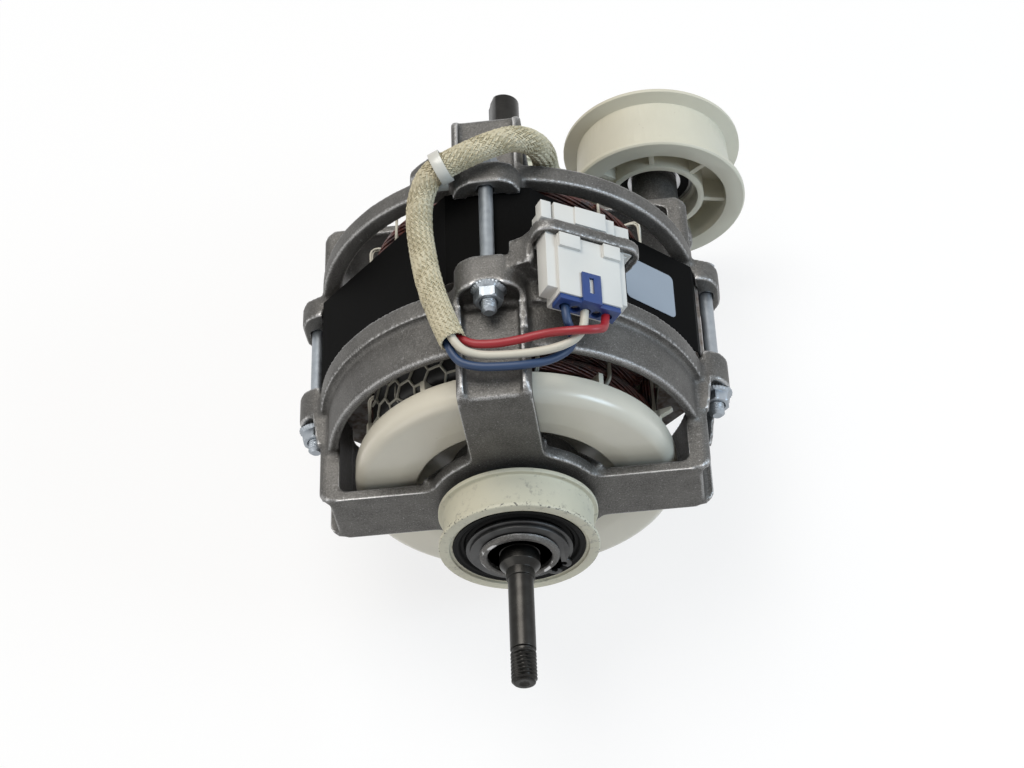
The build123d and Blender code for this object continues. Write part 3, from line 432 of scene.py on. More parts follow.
scene = bpy.context.scene
scene.view_settings.view_transform = "Standard"
for name, (place, size, power, colour) in LAMPS.items():
    data = bpy.data.lights.new(name, "AREA")
    data.size, data.energy, data.color = size * MM, power, colour
    lamp = put(name, data)
    lamp.location = Vector(place) * MM
    lamp.rotation_mode = "QUATERNION"
    lamp.rotation_quaternion = (MIDDLE - Vector(place)).to_track_quat("-Z", "Y")

scene.world = bpy.data.worlds.new("room")
scene.world.use_nodes = True
room = Wiring(scene.world.node_tree)
room.tree.nodes.clear()
lit, backdrop = (
    room.node("ShaderNodeBackground", {"Color": colour, "Strength": strength})
    for colour, strength in ((ROOM_COLOUR, ROOM_STRENGTH), (WHITE, 1.0))
)
room.feed(room.tree.nodes.new("ShaderNodeOutputWorld").inputs[0], room.blend(room.seen(), lit, backdrop))
print("lamps", len(LAMPS))

# %% [markdown]
# ## Cast aluminium
# The bells came dull and grainy out of the mould, and every edge that was knocked since then is bright.
# The Geometry node's Pointiness finds those edges. One grey would look like paint, so the grain, the
# pits, the sanded patches and the scuffs are each laid over the last as a mask. Small bright specks on
# top are painted glints: highlights set into the colour.


# %% Cast aluminium
def cast_metal(name):
    finish = Finish(name)
    point = finish.node("ShaderNodeNewGeometry", output="Pointiness")
    grain = finish.noise(0.35, 2)
    pits = finish.noise(1.3, 2, seed=3.0)
    sand = finish.noise(0.5, 2, 0.7, seed=15.0)
    edge = finish.ramp(point + (grain - 0.5) * 0.06, 0.525, 0.57)
    # Painted highlight: the glint spots are bright specks set into the colour where light would sparkle off the grain.
    glint = finish.spots(0.66, 0.74, 0.55, 2, seed=7.0)
    scuff = finish.spots(0.64, 0.72, 3.2, 5, 0.75, seed=12.0) * glint.at_least(0.35)
    # The bright mask is edge wear and scuffs together with the painted glints.
    wear_and_glint = (edge * 0.8).at_least(glint * 0.35).at_least(scuff * 0.6)
    colour = finish.mix(finish.spots(0.35, 0.7, 9.0, 3), (0.070, 0.067, 0.063), (0.112, 0.108, 0.102))
    colour = finish.mix(finish.ramp(pits, 0.48, 0.3) * 0.5, colour, (0.075, 0.073, 0.07))
    colour = finish.mix(finish.ramp(sand, 0.42, 0.7) * 0.45, colour, (0.215, 0.21, 0.2))
    colour = finish.mix(wear_and_glint, colour, (0.62, 0.62, 0.62))
    finish.set(base_color=colour, metallic=0.8, roughness=0.52 - edge * 0.2 + (grain - 0.5) * 0.16)
    finish.bump(grain * 0.3 + sand * 0.8 + pits * 0.7, 0.2, 0.9)


# %% [markdown]
# ## Steel and zinc
# Turned steel keeps fine lines from the tool round its axis, and they are noise along the shaft's line
# alone. Zinc plate is cloudy and a little blue. The core shows the edges of its many thin sheets, which
# is a sine along the same line. Each finish is a function, because several pieces share it.


# %% Steel, zinc and the core's sheets
def worked_steel(name, colour, dark, roughness, line):
    """Steel that was turned or drawn: fine lines round the shaft line and soft stains."""
    finish = Finish(name)
    inputs = {"W": finish.axis("Y"), "Scale": 1 / line, "Detail": 2.0}
    rings = finish.node("ShaderNodeTexNoise", inputs, noise_dimensions="1D")
    stain = finish.spots(0.4, 0.72, 5.0, 3)
    finish.set(base_color=finish.mix(stain * 0.7, colour, dark), metallic=1.0,
               roughness=(rings - 0.5) * 0.18 + roughness)
    finish.bump(rings, 0.02, 0.5)


def zinc(name):
    finish = Finish(name)
    cloud = finish.noise(2.4, 4)
    colour = finish.mix(cloud, (0.24, 0.27, 0.30), (0.42, 0.45, 0.48))
    finish.set(base_color=colour, metallic=1.0, roughness=0.34 + cloud * 0.2)
    finish.bump(finish.noise(0.8, 3), 0.03, 0.5)


SHEET_THICKNESS = 0.5


def sheet_steel(name):
    """The edges of the core's sheets."""
    finish = Finish(name)
    sheets = finish.maths("SINE", finish.axis("Y") * (2 * math.pi / SHEET_THICKNESS))
    rust = finish.noise(3.0, 4)
    colour = finish.mix(finish.ramp(rust, 0.45, 0.7), (0.28, 0.27, 0.26), (0.13, 0.09, 0.07))
    finish.set(base_color=colour, metallic=0.85, roughness=0.55 + rust * 0.15)
    finish.bump(sheets * 0.5 + 0.5, 0.1, 0.7)


# %% [markdown]
# ## Plastics, varnish and rubber
# A moulding is even in colour, but never quite: it clouds, and dust stays in its scuffs. The mounting
# ring is chipped along its flange, where the machine's clamp was pushed on. The rubber and the film are
# almost black, and hardly shine.

# %% Plastics, varnish and rubber
DUST = (0.22, 0.19, 0.14)
CLOUD_SHADE = 0.86
RING_FRONT_FACE = -5.3
RING_FLANGE_INNER = 24.75


def moulded(name, colour, roughness=0.42, grime=0.3, coat=0.0, grain=0.5):
    """Moulded plastic: faint cloudiness, scuffs and a little dust."""
    finish = Finish(name)
    cloud = finish.noise(14.0, 3)
    speck = finish.spots(0.66, 0.74, 1.1, 4, seed=5.0)
    patch = finish.spots(0.52, 0.68, 11.0, 2, seed=9.0)
    tone = finish.mix(cloud, tuple(value * CLOUD_SHADE for value in colour), colour)
    tone = finish.mix(speck * patch * grime, tone, DUST)
    finish.set(base_color=tone, roughness=roughness + cloud * 0.12)
    finish.bump(finish.noise(grain, 2), 0.02, 0.35)
    if coat:
        finish.set(coat_weight=coat, coat_roughness=0.12)


def ring_moulding(name):
    """The mounting ring's plastic: black chips along its flanges and rubbed grey marks between them."""
    finish = Finish(name)
    across, up = finish.axis("X"), finish.axis("Z")
    radius = (across * across + up * up) ** 0.5
    cloud = finish.noise(14.0, 3)
    front_edge = finish.ramp(finish.axis("Y"), RING_FRONT_FACE, RING_FRONT_FACE - 0.3)
    flange = finish.ramp(radius, RING_FLANGE_INNER, RING_FLANGE_INNER + 0.2)
    chip = finish.spots(0.575, 0.635, 0.8, 3, seed=4.0) * flange * front_edge
    rub = finish.spots(0.54, 0.66, 2.0, 5, 0.75, seed=8.0) * finish.spots(0.42, 0.56, 9.0, 2)
    tone = finish.mix(cloud, (0.51, 0.495, 0.39), (0.58, 0.56, 0.45))
    tone = finish.mix(rub * 0.6, tone, (0.2, 0.19, 0.17))
    tone = finish.mix(chip * 0.85, tone, (0.03, 0.03, 0.03))
    finish.set(base_color=tone, roughness=0.42 + cloud * 0.15)
    finish.bump(finish.noise(0.6, 3), 0.03, 0.4)


def enamelled_wire(name):
    """Copper wire under dark red varnish, bare and brown in places."""
    finish = Finish(name)
    cloud = finish.noise(7.0, 4)
    bare = finish.spots(0.55, 0.75, 1.2, 3, seed=2.0)
    tone = finish.mix(finish.ramp(cloud, 0.4, 0.68), (0.018, 0.006, 0.005), (0.115, 0.019, 0.012))
    tone = finish.mix(bare * 0.6, tone, (0.24, 0.085, 0.035))
    finish.set(base_color=tone, metallic=0.2, roughness=0.36 + cloud * 0.15, coat_weight=0.3,
               coat_roughness=0.2)


def black_rubber(name):
    finish = Finish(name)
    tone = finish.mix(finish.noise(4.0, 4), (0.003, 0.003, 0.003), (0.009, 0.009, 0.009))
    finish.set(base_color=tone, roughness=0.6, specular_ior_level=0.1)
    finish.bump(finish.noise(0.4, 2), 0.03, 0.5)


def black_film(name):
    """The flat black sheet round the core, slightly wrinkled."""
    finish = Finish(name)
    grain = finish.noise(0.5, 2)
    tone = finish.mix(grain, (0.002, 0.002, 0.002), (0.006, 0.006, 0.006))
    finish.set(base_color=tone, roughness=0.45 + grain * 0.2, specular_ior_level=0.02)
    finish.bump(finish.noise(16.0, 2) * 0.7 + grain * 0.1, 0.3, 0.5)


# %% [markdown]
# ## Every finish by name
# The measured solids name their finishes, so each finish carries the same name here. A solid that is
# replaced later hands its finish on to the piece that stands for it.

# %% Mix every finish and put it on the measured solids
cast_metal("cast_aluminium")
sheet_steel("core_steel")
black_film("wrap_black")
enamelled_wire("winding_copper")
zinc("zinc_steel")
ring_moulding("ring_plastic")
black_rubber("ring_rubber")
worked_steel("bearing_steel", (0.55, 0.55, 0.56), (0.4, 0.4, 0.4), 0.25, 0.3)
worked_steel("spring_steel", (0.075, 0.075, 0.075), (0.035, 0.035, 0.035), 0.42, 0.5)
worked_steel("shaft_steel", (0.036, 0.035, 0.033), (0.021, 0.02, 0.019), 0.32, 0.25)
worked_steel("rotor_steel", (0.30, 0.29, 0.28), (0.2, 0.19, 0.18), 0.4, 0.5)
worked_steel("cage_aluminium", (0.6, 0.6, 0.61), (0.4, 0.4, 0.4), 0.5, 0.8)
worked_steel("contact_brass", (0.7, 0.55, 0.25), (0.5, 0.38, 0.16), 0.3, 0.5)
moulded("liner_white", (0.72, 0.70, 0.60))
moulded("lacing_cord", (0.62, 0.60, 0.52), 0.8, grain=0.3)
moulded("net_film", (0.012, 0.012, 0.012), 0.5, 0.0)
moulded("label_blank", (0.26, 0.305, 0.36), 0.35, 0.1)
moulded("protector_case", (0.05, 0.05, 0.055), 0.35)
moulded("fan_plastic", (0.65, 0.62, 0.525), 0.26, 0.4, 0.3)
moulded("pulley_plastic", (0.60, 0.575, 0.47), 0.4, 0.5)
moulded("connector_white", (0.61, 0.61, 0.585), 0.34, 0.2)
moulded("lock_blue", (0.011, 0.04, 0.17), 0.35, 0.1)
moulded("lead_red", (0.28, 0.009, 0.016), 0.38, 0.15)
moulded("lead_white", (0.54, 0.51, 0.43), 0.42, 0.5)
moulded("lead_blue", (0.010, 0.034, 0.092), 0.4, 0.2)
moulded("sleeve_weave", (0.52, 0.475, 0.34), 0.45, 0.3, grain=0.25)
moulded("tie_nylon", (0.56, 0.56, 0.52), 0.28, 0.2, 0.3)

recorded_slots = {part["material_slot"] for part in frame["record"]["subparts"]}
for part in frame["record"]["subparts"]:
    body = nodes[part["node"]]
    body.data.materials.clear()
    body.data.materials.append(finishes[part["material_slot"]])
print("finishes", len(finishes))

# %% [markdown]
# ## The leads' insulation
# Each lead is soft plastic of one colour, with a little dust. Its curve already carries the wire's
# thickness, so it needs nothing but its finish.

# %% Dress the leads
for name, lead in leads.items():
    lead.data.materials.append(finishes[name])
    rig.slot(lead, name)
print("leads", len(leads))

# %% [markdown]
# ## Small workshop
# Most pieces of a motor are turned, so a lathe that spins an outline of radii and stations does most of
# the work, and a prism does the rest. Both lay a skin over rings of places. Pieces that are right as
# measured only get a bevel on their sharp edges, which catches light as a real edge does.

# %% Mesh helpers
WELD = 0.004
SOLID_WELD = 0.002
FLAT_WITHIN = 0.6
SHARP_FROM = 30.0


def edited(mesh, change):
    """The same mesh after a change that is made with bmesh."""
    work = bmesh.new()
    work.from_mesh(mesh)
    change(work)
    work.to_mesh(mesh)
    work.free()
    return mesh


def loft(name, rings, wraps=False, closed=True):
    """A skin over rings of places in millimetres. It wraps round, or has a flat face at either end."""
    count, size = len(rings), len(rings[0])
    faces = [] if wraps else [range(size), range((count - 1) * size, count * size)]
    for turn in range(count if wraps else count - 1):
        this, following = turn * size, (turn + 1) % count * size
        for index in range(size if closed else size - 1):
            after = (index + 1) % size
            faces.append((this + index, this + after, following + after, following + index))

    def build(work):
        corners = [work.verts.new(Vector(place) * MM) for ring in rings for place in ring]
        for face in faces:
            work.faces.new([corners[index] for index in face])
        bmesh.ops.remove_doubles(work, verts=work.verts, dist=WELD * MM)
        bmesh.ops.recalc_face_normals(work, faces=work.faces)

    return edited(bpy.data.meshes.new(name), build)


def joined(name, meshes):
    """One mesh from several."""

    def gather(work):
        for mesh in meshes:
            work.from_mesh(mesh)
            bpy.data.meshes.remove(mesh)

    return edited(bpy.data.meshes.new(name), gather)


def through(mesh, *steps):
    """The mesh after modifiers. A step is a modifier's kind, its settings and its tree's input values."""
    thing = put("work", mesh)
    for kind, settings, *inputs in steps:
        modifier = thing.modifiers.new("step", kind)
        for key, value in settings.items():
            setattr(modifier, key, value)
        for identifier, value in inputs[0].items() if inputs else ():
            modifier[identifier] = value
    result = baked(thing)
    thing.modifiers.clear()
    bpy.data.objects.remove(thing)
    return result


def rounded(outline, closed=True, steps=4):
    """An outline whose corners are arcs. Each point is (radius, station) or (radius, station, round)."""
    points = []
    count = len(outline)
    for index, corner in enumerate(outline):
        here = Vector(corner[:2])
        fillet = corner[2] if len(corner) > 2 else 0.0
        if not fillet or (not closed and index in (0, count - 1)):
            points.append(tuple(here))
            continue
        back = Vector(outline[index - 1][:2]) - here
        ahead = Vector(outline[(index + 1) % count][:2]) - here
        half = back.angle(ahead) / 2
        run = min(fillet / math.tan(half), 0.49 * back.length, 0.49 * ahead.length)
        to_centre = (back.normalized() + ahead.normalized()).normalized()
        centre = here + to_centre * (run * math.tan(half) / math.sin(half))
        start = here + back.normalized() * run - centre
        sweep = start.angle_signed(here + ahead.normalized() * run - centre)
        for step in range(steps + 1):
            spoke = start.copy()
            spoke.rotate(Matrix.Rotation(-sweep * step / steps, 2))
            points.append(tuple(centre + spoke))
    return points


def lathe(name, outline, segments=128, shape=None, closed=True):
    """Spins an outline of (radius, station) round the shaft line. shape(radius, station, angle) moves it."""
    rings = []
    for angle in (2 * math.pi * turn / segments for turn in range(segments)):
        spun = [(shape(*point, angle) if shape else point[0], point[1]) for point in outline]
        rings.append([(radius * math.sin(angle), at, radius * math.cos(angle)) for radius, at in spun])
    return loft(name, rings, wraps=True, closed=closed)


def prism(name, outline, low, high, sides=(0, 2, 1)):
    """An outline in two axes, drawn out along a third between two stations."""
    axes = [sides.index(axis) for axis in range(3)]
    return loft(name, [[[(*corner, station)[axis] for axis in axes] for corner in outline]
                       for station in (low, high)])


def moved(mesh, offset=(0, 0, 0), about_y=0.0):
    """Turns a mesh about the shaft line and shifts it, in millimetres and degrees."""
    mesh.transform(Matrix.Translation(Vector(offset) * MM) @ Matrix.Rotation(math.radians(about_y), 4, "Y"))
    return mesh


def piece(name, mesh, slot, body="housing", stands_for=(), sharp=35.0):
    """Seats a finished mesh on its body, smooth except at its sharp edges."""
    thing = put(name, mesh)
    mesh.materials.clear()
    mesh.materials.append(finishes[slot])
    mesh.shade_smooth()
    mesh.set_sharp_from_angle(angle=math.radians(sharp))
    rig.ride(thing, body)
    if slot in recorded_slots:
        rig.slot(thing, slot)
    if stands_for:
        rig.replaces(thing, *stands_for)
    print(name, "faces", len(mesh.polygons))
    return thing


def merged(node):
    """A copy of a measured solid's mesh in the motor's frame, with its loose triangles joined up."""
    mesh = baked(nodes[node])
    mesh.transform(nodes[node].matrix_world)
    return edited(mesh, lambda work: bmesh.ops.remove_doubles(work, verts=work.verts, dist=SOLID_WELD * MM))


def softened(node, width, slot, body="housing"):
    """A measured solid again as large flat faces, whose sharp edges are rounded by a width."""
    flat = edited(merged(node), lambda work: bmesh.ops.dissolve_limit(
        work, angle_limit=math.radians(FLAT_WITHIN), verts=work.verts, edges=work.edges))
    result = through(flat, ("BEVEL", {
        "width": width * MM, "segments": 2, "limit_method": "ANGLE", "use_clamp_overlap": True,
        "angle_limit": math.radians(SHARP_FROM),
    }))
    return piece(node + "_worn", result, slot, body, stands_for=[node], sharp=40.0)


# %% [markdown]
# ## Geometry Nodes trees
# Two jobs come back all over the motor: copies round a line, and strands along a line. A small class
# gives a tree its named inputs, and ends every tree with Realize Instances and Set Material, so that
# what comes out is one real mesh with its finish on.


# %% A tree with named inputs
class Recipe(Wiring):
    """A Geometry Nodes tree with named inputs, from its first socket to its last node."""

    def __init__(self, name, inputs):
        super().__init__(bpy.data.node_groups.new(name, "GeometryNodeTree"))
        face = self.tree.interface
        for label, kind in (("Geometry", "Geometry"), *inputs.items(), ("Material", "Material")):
            face.new_socket(label, in_out="INPUT", socket_type="NodeSocket" + kind)
        face.new_socket("Geometry", in_out="OUTPUT", socket_type="NodeSocketGeometry")
        first = self.tree.nodes.new("NodeGroupInput")
        self.start = {socket.name: Value(self, socket) for socket in first.outputs}

    def scaled(self, vector, by):
        return self.node("ShaderNodeVectorMath", {0: vector, "Scale": by}, operation="SCALE")

    def finish(self, geometry):
        real = self.node("GeometryNodeRealizeInstances", {0: geometry})
        painted = self.node("GeometryNodeSetMaterial", {"Geometry": real, "Material": self.start["Material"]})
        self.feed(self.tree.nodes.new("NodeGroupOutput").inputs[0], painted)
        return self.tree


def with_inputs(mesh, tree, inputs):
    """Runs a mesh through a tree with these named inputs and returns the finished mesh."""
    named = {item.name: item.identifier for item in tree.interface.items_tree if item.in_out == "INPUT"}
    values = {named[name]: value for name, value in inputs.items()}
    return through(mesh, ("NODES", {"node_group": tree}, values))


# %% [markdown]
# ## Copies round a line
# Blades, bolts and lacing loops repeat at even angles. A Geometry Nodes tree sets the copies, with the
# count and the first angle as its inputs, so a change of the count is one number.


# %% A tree that sets copies round a line
def copies_tree():
    """The piece is doubled Count times, and each copy turns by its share of a circle."""
    recipe = Recipe("copies round a line", {"Count": "Int", "First angle": "Float"})
    start, node = recipe.start, recipe.node
    instance = node("GeometryNodeGeometryToInstance", {0: start["Geometry"]})
    double = node("GeometryNodeDuplicateElements", {"Geometry": instance, "Amount": start["Count"]},
                  domain="INSTANCE")
    angle = double.other("Duplicate Index") * (2 * math.pi / start["Count"]) + start["First angle"]
    return recipe.finish(node("GeometryNodeRotateInstances", {
        "Instances": double, "Rotation": node("ShaderNodeCombineXYZ", {"Y": angle}), "Local Space": False,
    }))


copies = copies_tree()


def round_the_line(mesh, count, slot, first=0.0):
    """Copies of a mesh at even angles round the shaft line."""
    return with_inputs(mesh, copies, {
        "Count": count, "First angle": math.radians(first), "Material": finishes[slot],
    })


# %% [markdown]
# ## Strands along a line
# Windings, lacing and the woven sleeve are all wires that follow a line together. One tree copies the
# line, sets each copy off to the side, lets it wander and twist a little, and gives it a round section.
# Laying every wire by hand would look much the same, but here the count and the twist are inputs.

# %% A tree that lays strands along a line
MEASURES = ("Reach", "Twist per metre", "Wander", "Wander size", "Wire radius", "Seed", "Weave waves",
            "Weave depth", "Weave shift")
STRAND_INPUTS = {"Strands": "Int", "Sides": "Int", "Caps": "Bool", **dict.fromkeys(MEASURES, "Float")}
NOISE_STEP = 0.37


def strands_tree():
    """Copies a polyline, offsets each copy round it and sweeps a small circle along them."""
    recipe = Recipe("strands along a line", STRAND_INPUTS)
    start, node, maths, vectors = recipe.start, recipe.node, recipe.maths, recipe.vectors
    line = node("GeometryNodeMeshToCurve", {0: start["Geometry"]})
    double = node("GeometryNodeDuplicateElements", {"Geometry": line, "Amount": start["Strands"]},
                  domain="SPLINE")
    number = double.other("Duplicate Index")
    along = node("GeometryNodeSplineParameter", output="Length")
    angle = number / start["Strands"] * (2 * math.pi) + along * start["Twist per metre"]
    wave = along * start["Weave waves"] + (number * start["Weave shift"] + math.pi / 4)
    reach = start["Reach"] + maths("SINE", wave) * start["Weave depth"]
    normal = node("GeometryNodeInputNormal")
    across = vectors("CROSS_PRODUCT", node("GeometryNodeInputTangent"), normal)
    offset = vectors("ADD", recipe.scaled(normal, maths("COSINE", angle) * reach),
                     recipe.scaled(across, maths("SINE", angle) * reach))
    shift = node("ShaderNodeCombineXYZ", {"X": number * NOISE_STEP, "Y": start["Seed"]})
    cloud = node("ShaderNodeTexNoise", {
        "Vector": vectors("ADD", node("GeometryNodeInputPosition"), shift),
        "Scale": 1.0 / start["Wander size"], "Detail": 1.0,
    }, "Color")
    wander = recipe.scaled(vectors("SUBTRACT", cloud, (0.5, 0.5, 0.5)), start["Wander"] * 2.0)
    laid = node("GeometryNodeSetPosition", {"Geometry": double, "Offset": vectors("ADD", offset, wander)})
    section = node("GeometryNodeCurvePrimitiveCircle", {
        "Resolution": start["Sides"], "Radius": start["Wire radius"],
    })
    return recipe.finish(node("GeometryNodeCurveToMesh", {
        "Curve": laid, "Profile Curve": section, "Fill Caps": start["Caps"],
    }))


strands = strands_tree()


def line_mesh(places, closed=False):
    """A line of edges through places in millimetres."""
    edges = [(index, index + 1) for index in range(len(places) - 1)]
    if closed:
        edges.append((len(places) - 1, 0))
    mesh = bpy.data.meshes.new("line")
    mesh.from_pydata([tuple(Vector(place) * MM) for place in places], edges, [])
    return mesh


def strand_mesh(line, slot, count, reach, wire, twist=0.0, wander=0.0, wander_size=20.0, sides=5, seed=0.0,
                waves=0.0, depth=0.0, shift=0.0, caps=True):
    """Strands along a line mesh, in millimetres, with twist in turns per 100 mm."""
    return with_inputs(line, strands, {
        "Strands": count, "Reach": reach * MM, "Twist per metre": twist * 20 * math.pi, "Wander": wander * MM,
        "Wander size": wander_size * MM, "Wire radius": wire * MM, "Sides": sides, "Seed": seed,
        "Weave waves": waves / MM, "Weave depth": depth * MM, "Weave shift": shift, "Caps": caps,
        "Material": finishes[slot],
    })


# %% [markdown]
# ## The cast end bells
# Each bell is pressure-cast aluminium, tumbled so that every edge is a little round and worn bright. A
# bevel would stumble over the many crossing ribs, so the measured solid is wrapped in an even skin of
# small faces, and a few rounds of smoothing wear the edges down, as the tumbling drum did. The nose that
# carries the ring was turned after casting, so it is spun here with its crisp groove and chamfer.

# %% Wrap the castings and turn their noses
CAST_FACE = 0.8
CAST_ROUNDS = 3
NOSE_BORE = 9.1
NOSE_MOUTH = 10.1
NOSE_RADIUS = 12.5
SHOULDER_RADIUS = 15.5
RING_WIDTH = 13.8
WASHER_WALL = 0.9
CLIP_WALL = 1.2
CLIP_DEPTH = 0.6
NOSE_PAST_RING = 3.5
CUT_ROUND_NOSE = 1.0
CUT_ABOVE_FACE = 0.35
BELLS = (
    {"node": "front_bell", "face": 9.6, "outward": -1, "gap": 2.7},
    {"node": "rear_bell", "face": 119.6, "outward": 1, "gap": 1.1},
)
# A solid foot under the connector's bracket, where it grows out of the front bell's bolt boss.
FOOT_RANGE = (49.6, 59.9)
FOOT = [
    (8.0, 61.9), (12.0, 61.8), (14.5, 60.9), (17.6, 62.8), (17.0, 66.0), (13.3, 68.2), (14.0, 70.6),
    (14.4, 72.2), (11.0, 71.0), (7.0, 69.6),
]


def cast_skin(node, extras, turned_off):
    """An even skin of small faces over a measured solid and its extras, with its edges worn round."""
    skinned = through(
        joined(node + "_solid", [merged(node), *extras]),
        ("REMESH", {"mode": "VOXEL", "voxel_size": CAST_FACE * MM}),
        ("SMOOTH", {"factor": 0.5, "iterations": CAST_ROUNDS}),
    )
    return edited(skinned, lambda work: bmesh.ops.delete(
        work, geom=[vert for vert in work.verts if turned_off(*(vert.co / MM))], context="VERTS"))


def nose_mesh(face, outward, gap):
    """The turned nose: its shoulder, the circlip's groove and the chamfered tip."""
    clip = gap + RING_WIDTH + WASHER_WALL - 0.05
    clip_end = clip + CLIP_WALL + 0.1
    tip = gap + RING_WIDTH + NOSE_PAST_RING
    outline = rounded([
        (NOSE_BORE, -0.6), (NOSE_BORE, 0.4), (NOSE_MOUTH, 0.8), (NOSE_MOUTH, tip - 0.4, 0.2),
        (NOSE_MOUTH + 0.4, tip, 0.2), (NOSE_RADIUS - 0.8, tip, 0.2), (NOSE_RADIUS, tip - 0.8, 0.2),
        (NOSE_RADIUS, clip_end), (NOSE_RADIUS - CLIP_DEPTH, clip_end), (NOSE_RADIUS - CLIP_DEPTH, clip),
        (NOSE_RADIUS, clip), (NOSE_RADIUS, gap, 0.1), (SHOULDER_RADIUS, gap, 0.4), (SHOULDER_RADIUS, -0.6),
    ])
    return lathe("nose", [(radius, face + outward * reach) for radius, reach in outline], 96)


def casting_mesh(node, face, outward, gap):
    """The worn skin with its rough nose cut away, and the turned nose in its place."""

    def on_nose(x, y, z):
        return math.hypot(x, z) < SHOULDER_RADIUS + CUT_ROUND_NOSE and (y - face) * outward > CUT_ABOVE_FACE

    extras = [prism("foot", FOOT, *FOOT_RANGE)] if node == "front_bell" else []
    return joined(node + "_casting", [cast_skin(node, extras, on_nose), nose_mesh(face, outward, gap)])


for bell in BELLS:
    piece(bell["node"] + "_casting", casting_mesh(**bell), "cast_aluminium", stands_for=[bell["node"]],
          sharp=60)

# %% [markdown]
# ## The cooling fan
# The fan is one glossy moulding: a dished shroud with a hole for the nose, eleven straight blades behind
# it, and a hub on the shaft. The shroud is spun from its wall's outline, and the blades are copies.

# %% Spin the shroud and set the blades
FAN_AXIS_HOLE = 31.8
SHROUD = {"rim": 51.2, "front": 15.0, "back": 24.5, "wall": 1.4, "curve": 6.2, "lip": 3.5}
HUB = {"bore": 8.55, "outer": 13.0, "front": 25.4, "back": 37.0}
DISC = {"front": 26.9, "back": 28.4, "reach": 36.0}
FAN_BLADES = 11
BLADE_FIRST = -85.0
BLADE_HALF = 0.8
BALANCE_BLADE = 9


def shroud_mesh(rim, front, back, wall, curve, lip):
    """The dished outer wall, which rolls in at the hole with a small lip."""
    return lathe("shroud", rounded([
        (FAN_AXIS_HOLE, front + lip, 0.5), (FAN_AXIS_HOLE, front + 0.35, 0.9),
        (FAN_AXIS_HOLE + 6.0, front - 0.05, 12.0), (rim, front + 0.15, curve + 0.6),
        (rim, back - 1.2, 0.3), (rim - 0.35, back - 0.9, 0.2), (rim - 0.35, back, 0.3),
        (rim - wall, back, 0.3), (rim - wall, front + wall + 1.4, curve - wall),
        (FAN_AXIS_HOLE + wall, front + wall, 0.8), (FAN_AXIS_HOLE + wall, front + lip, 0.5),
    ], steps=9), 144)


def hub_mesh(bore, outer, front, back):
    """The hub on the shaft and the flat disc that carries the blades."""
    disc_front, disc_back, reach = (DISC[key] for key in ("front", "back", "reach"))
    return lathe("hub", rounded([
        (bore, front, 0.3), (outer, front, 0.6), (outer, disc_front), (reach, disc_front, 0.3),
        (reach, disc_back, 0.3), (outer, disc_back, 0.8), (outer, back, 0.5), (bore, back, 0.3),
    ]), 96)


def fan_mesh():
    front, back, wall, disc_back = SHROUD["front"], SHROUD["back"], SHROUD["wall"], DISC["back"]
    blade = prism("blade", [
        (33.0, front + wall / 2), (44.3, front + wall / 2), (50.0, front + 6.5), (50.0, back),
        (50.4, back + 0.4), (50.4, disc_back), (35.0, disc_back), (35.0, back), (33.0, back),
    ], -BLADE_HALF, BLADE_HALF, sides=(0, 1, 2))
    tab = prism("tab", [(49.5, 26.0), (50.4, 26.0), (54.3, 27.3), (54.3, disc_back), (49.5, disc_back)],
                -BLADE_HALF, BLADE_HALF, sides=(0, 1, 2))
    return joined("cooling_fan_moulding", [
        shroud_mesh(**SHROUD), hub_mesh(**HUB),
        round_the_line(blade, FAN_BLADES, "fan_plastic", first=BLADE_FIRST),
        moved(tab, about_y=BLADE_FIRST - 360 * BALANCE_BLADE / FAN_BLADES),
    ])


piece("cooling_fan_moulding", fan_mesh(), "fan_plastic", body="rotor", stands_for=["cooling_fan"])

# %% [markdown]
# ## The mounting rings
# A grooved plastic ring round each nose takes the machine's spring clamp, and a ribbed rubber cushion
# between ring and nose keeps the motor's hum out of the cabinet. Both are spun from their sections.

# %% Spin the plastic rings and the rubber
RING = {"rim": 25.2, "groove": 23.6, "inner": 20.8, "half": 6.9, "flange": 1.5}
RIDGES = {"count": 5, "height": 0.28, "dish": 1.5, "steps": 48}


def turned(name, section, centre, outward, segments):
    """A ring spun from a section whose stations count outwards from the ring's own centre."""
    outline = [(radius, centre + outward * station, *fillet) for radius, station, *fillet in section]
    return lathe(name, rounded(outline), segments)


def ring_section(rim, groove, inner, half, flange):
    return [
        (inner, -half, 0.3), (rim, -half, 0.35), (rim, flange - half, 0.3), (groove, flange - half, 0.5),
        (groove, half - flange, 0.5), (rim, half - flange, 0.3), (rim, half, 0.45),
        (inner + 1.1, half, 0.3), (inner + 0.9, half - 0.8, 0.2), (inner, half - 0.8, 0.2),
    ]


def cushion_section(inner, outer, face, back):
    """The cushion: a dished face with round ridges, and a flat back."""
    steps = RIDGES["steps"]
    section = []
    for index in range(steps + 1):
        share = index / steps
        dish = RIDGES["dish"] * math.sin(math.pi * share) ** 2
        ridge = RIDGES["height"] * math.cos(2 * math.pi * share * RIDGES["count"]) * math.sin(math.pi * share)
        section.append((inner + (outer - inner) * share, face - dish + ridge))
    return [*section, (outer, back), (inner, back)]


rear_ring_centre = sum(corner[1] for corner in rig.box("rear_mount_ring")) / 2 / MM
for end, centre, outward in (("front", 0.0, -1), ("rear", rear_ring_centre, 1)):
    ring = turned("mount_ring", ring_section(**RING), centre, outward, 160)
    piece(end + "_ring_moulding", ring, "ring_plastic", stands_for=[end + "_mount_ring"])
    section = cushion_section(NOSE_RADIUS + 0.04, RING["inner"] - 0.04, RING["half"] - 0.5,
                              0.1 - RING["half"])
    rubber = turned("rubber", section, centre, outward, 128)
    piece(end + "_cushion", rubber, "ring_rubber", stands_for=[end + "_rubber_ring"])
print("rear ring centre", round(rear_ring_centre, 2))

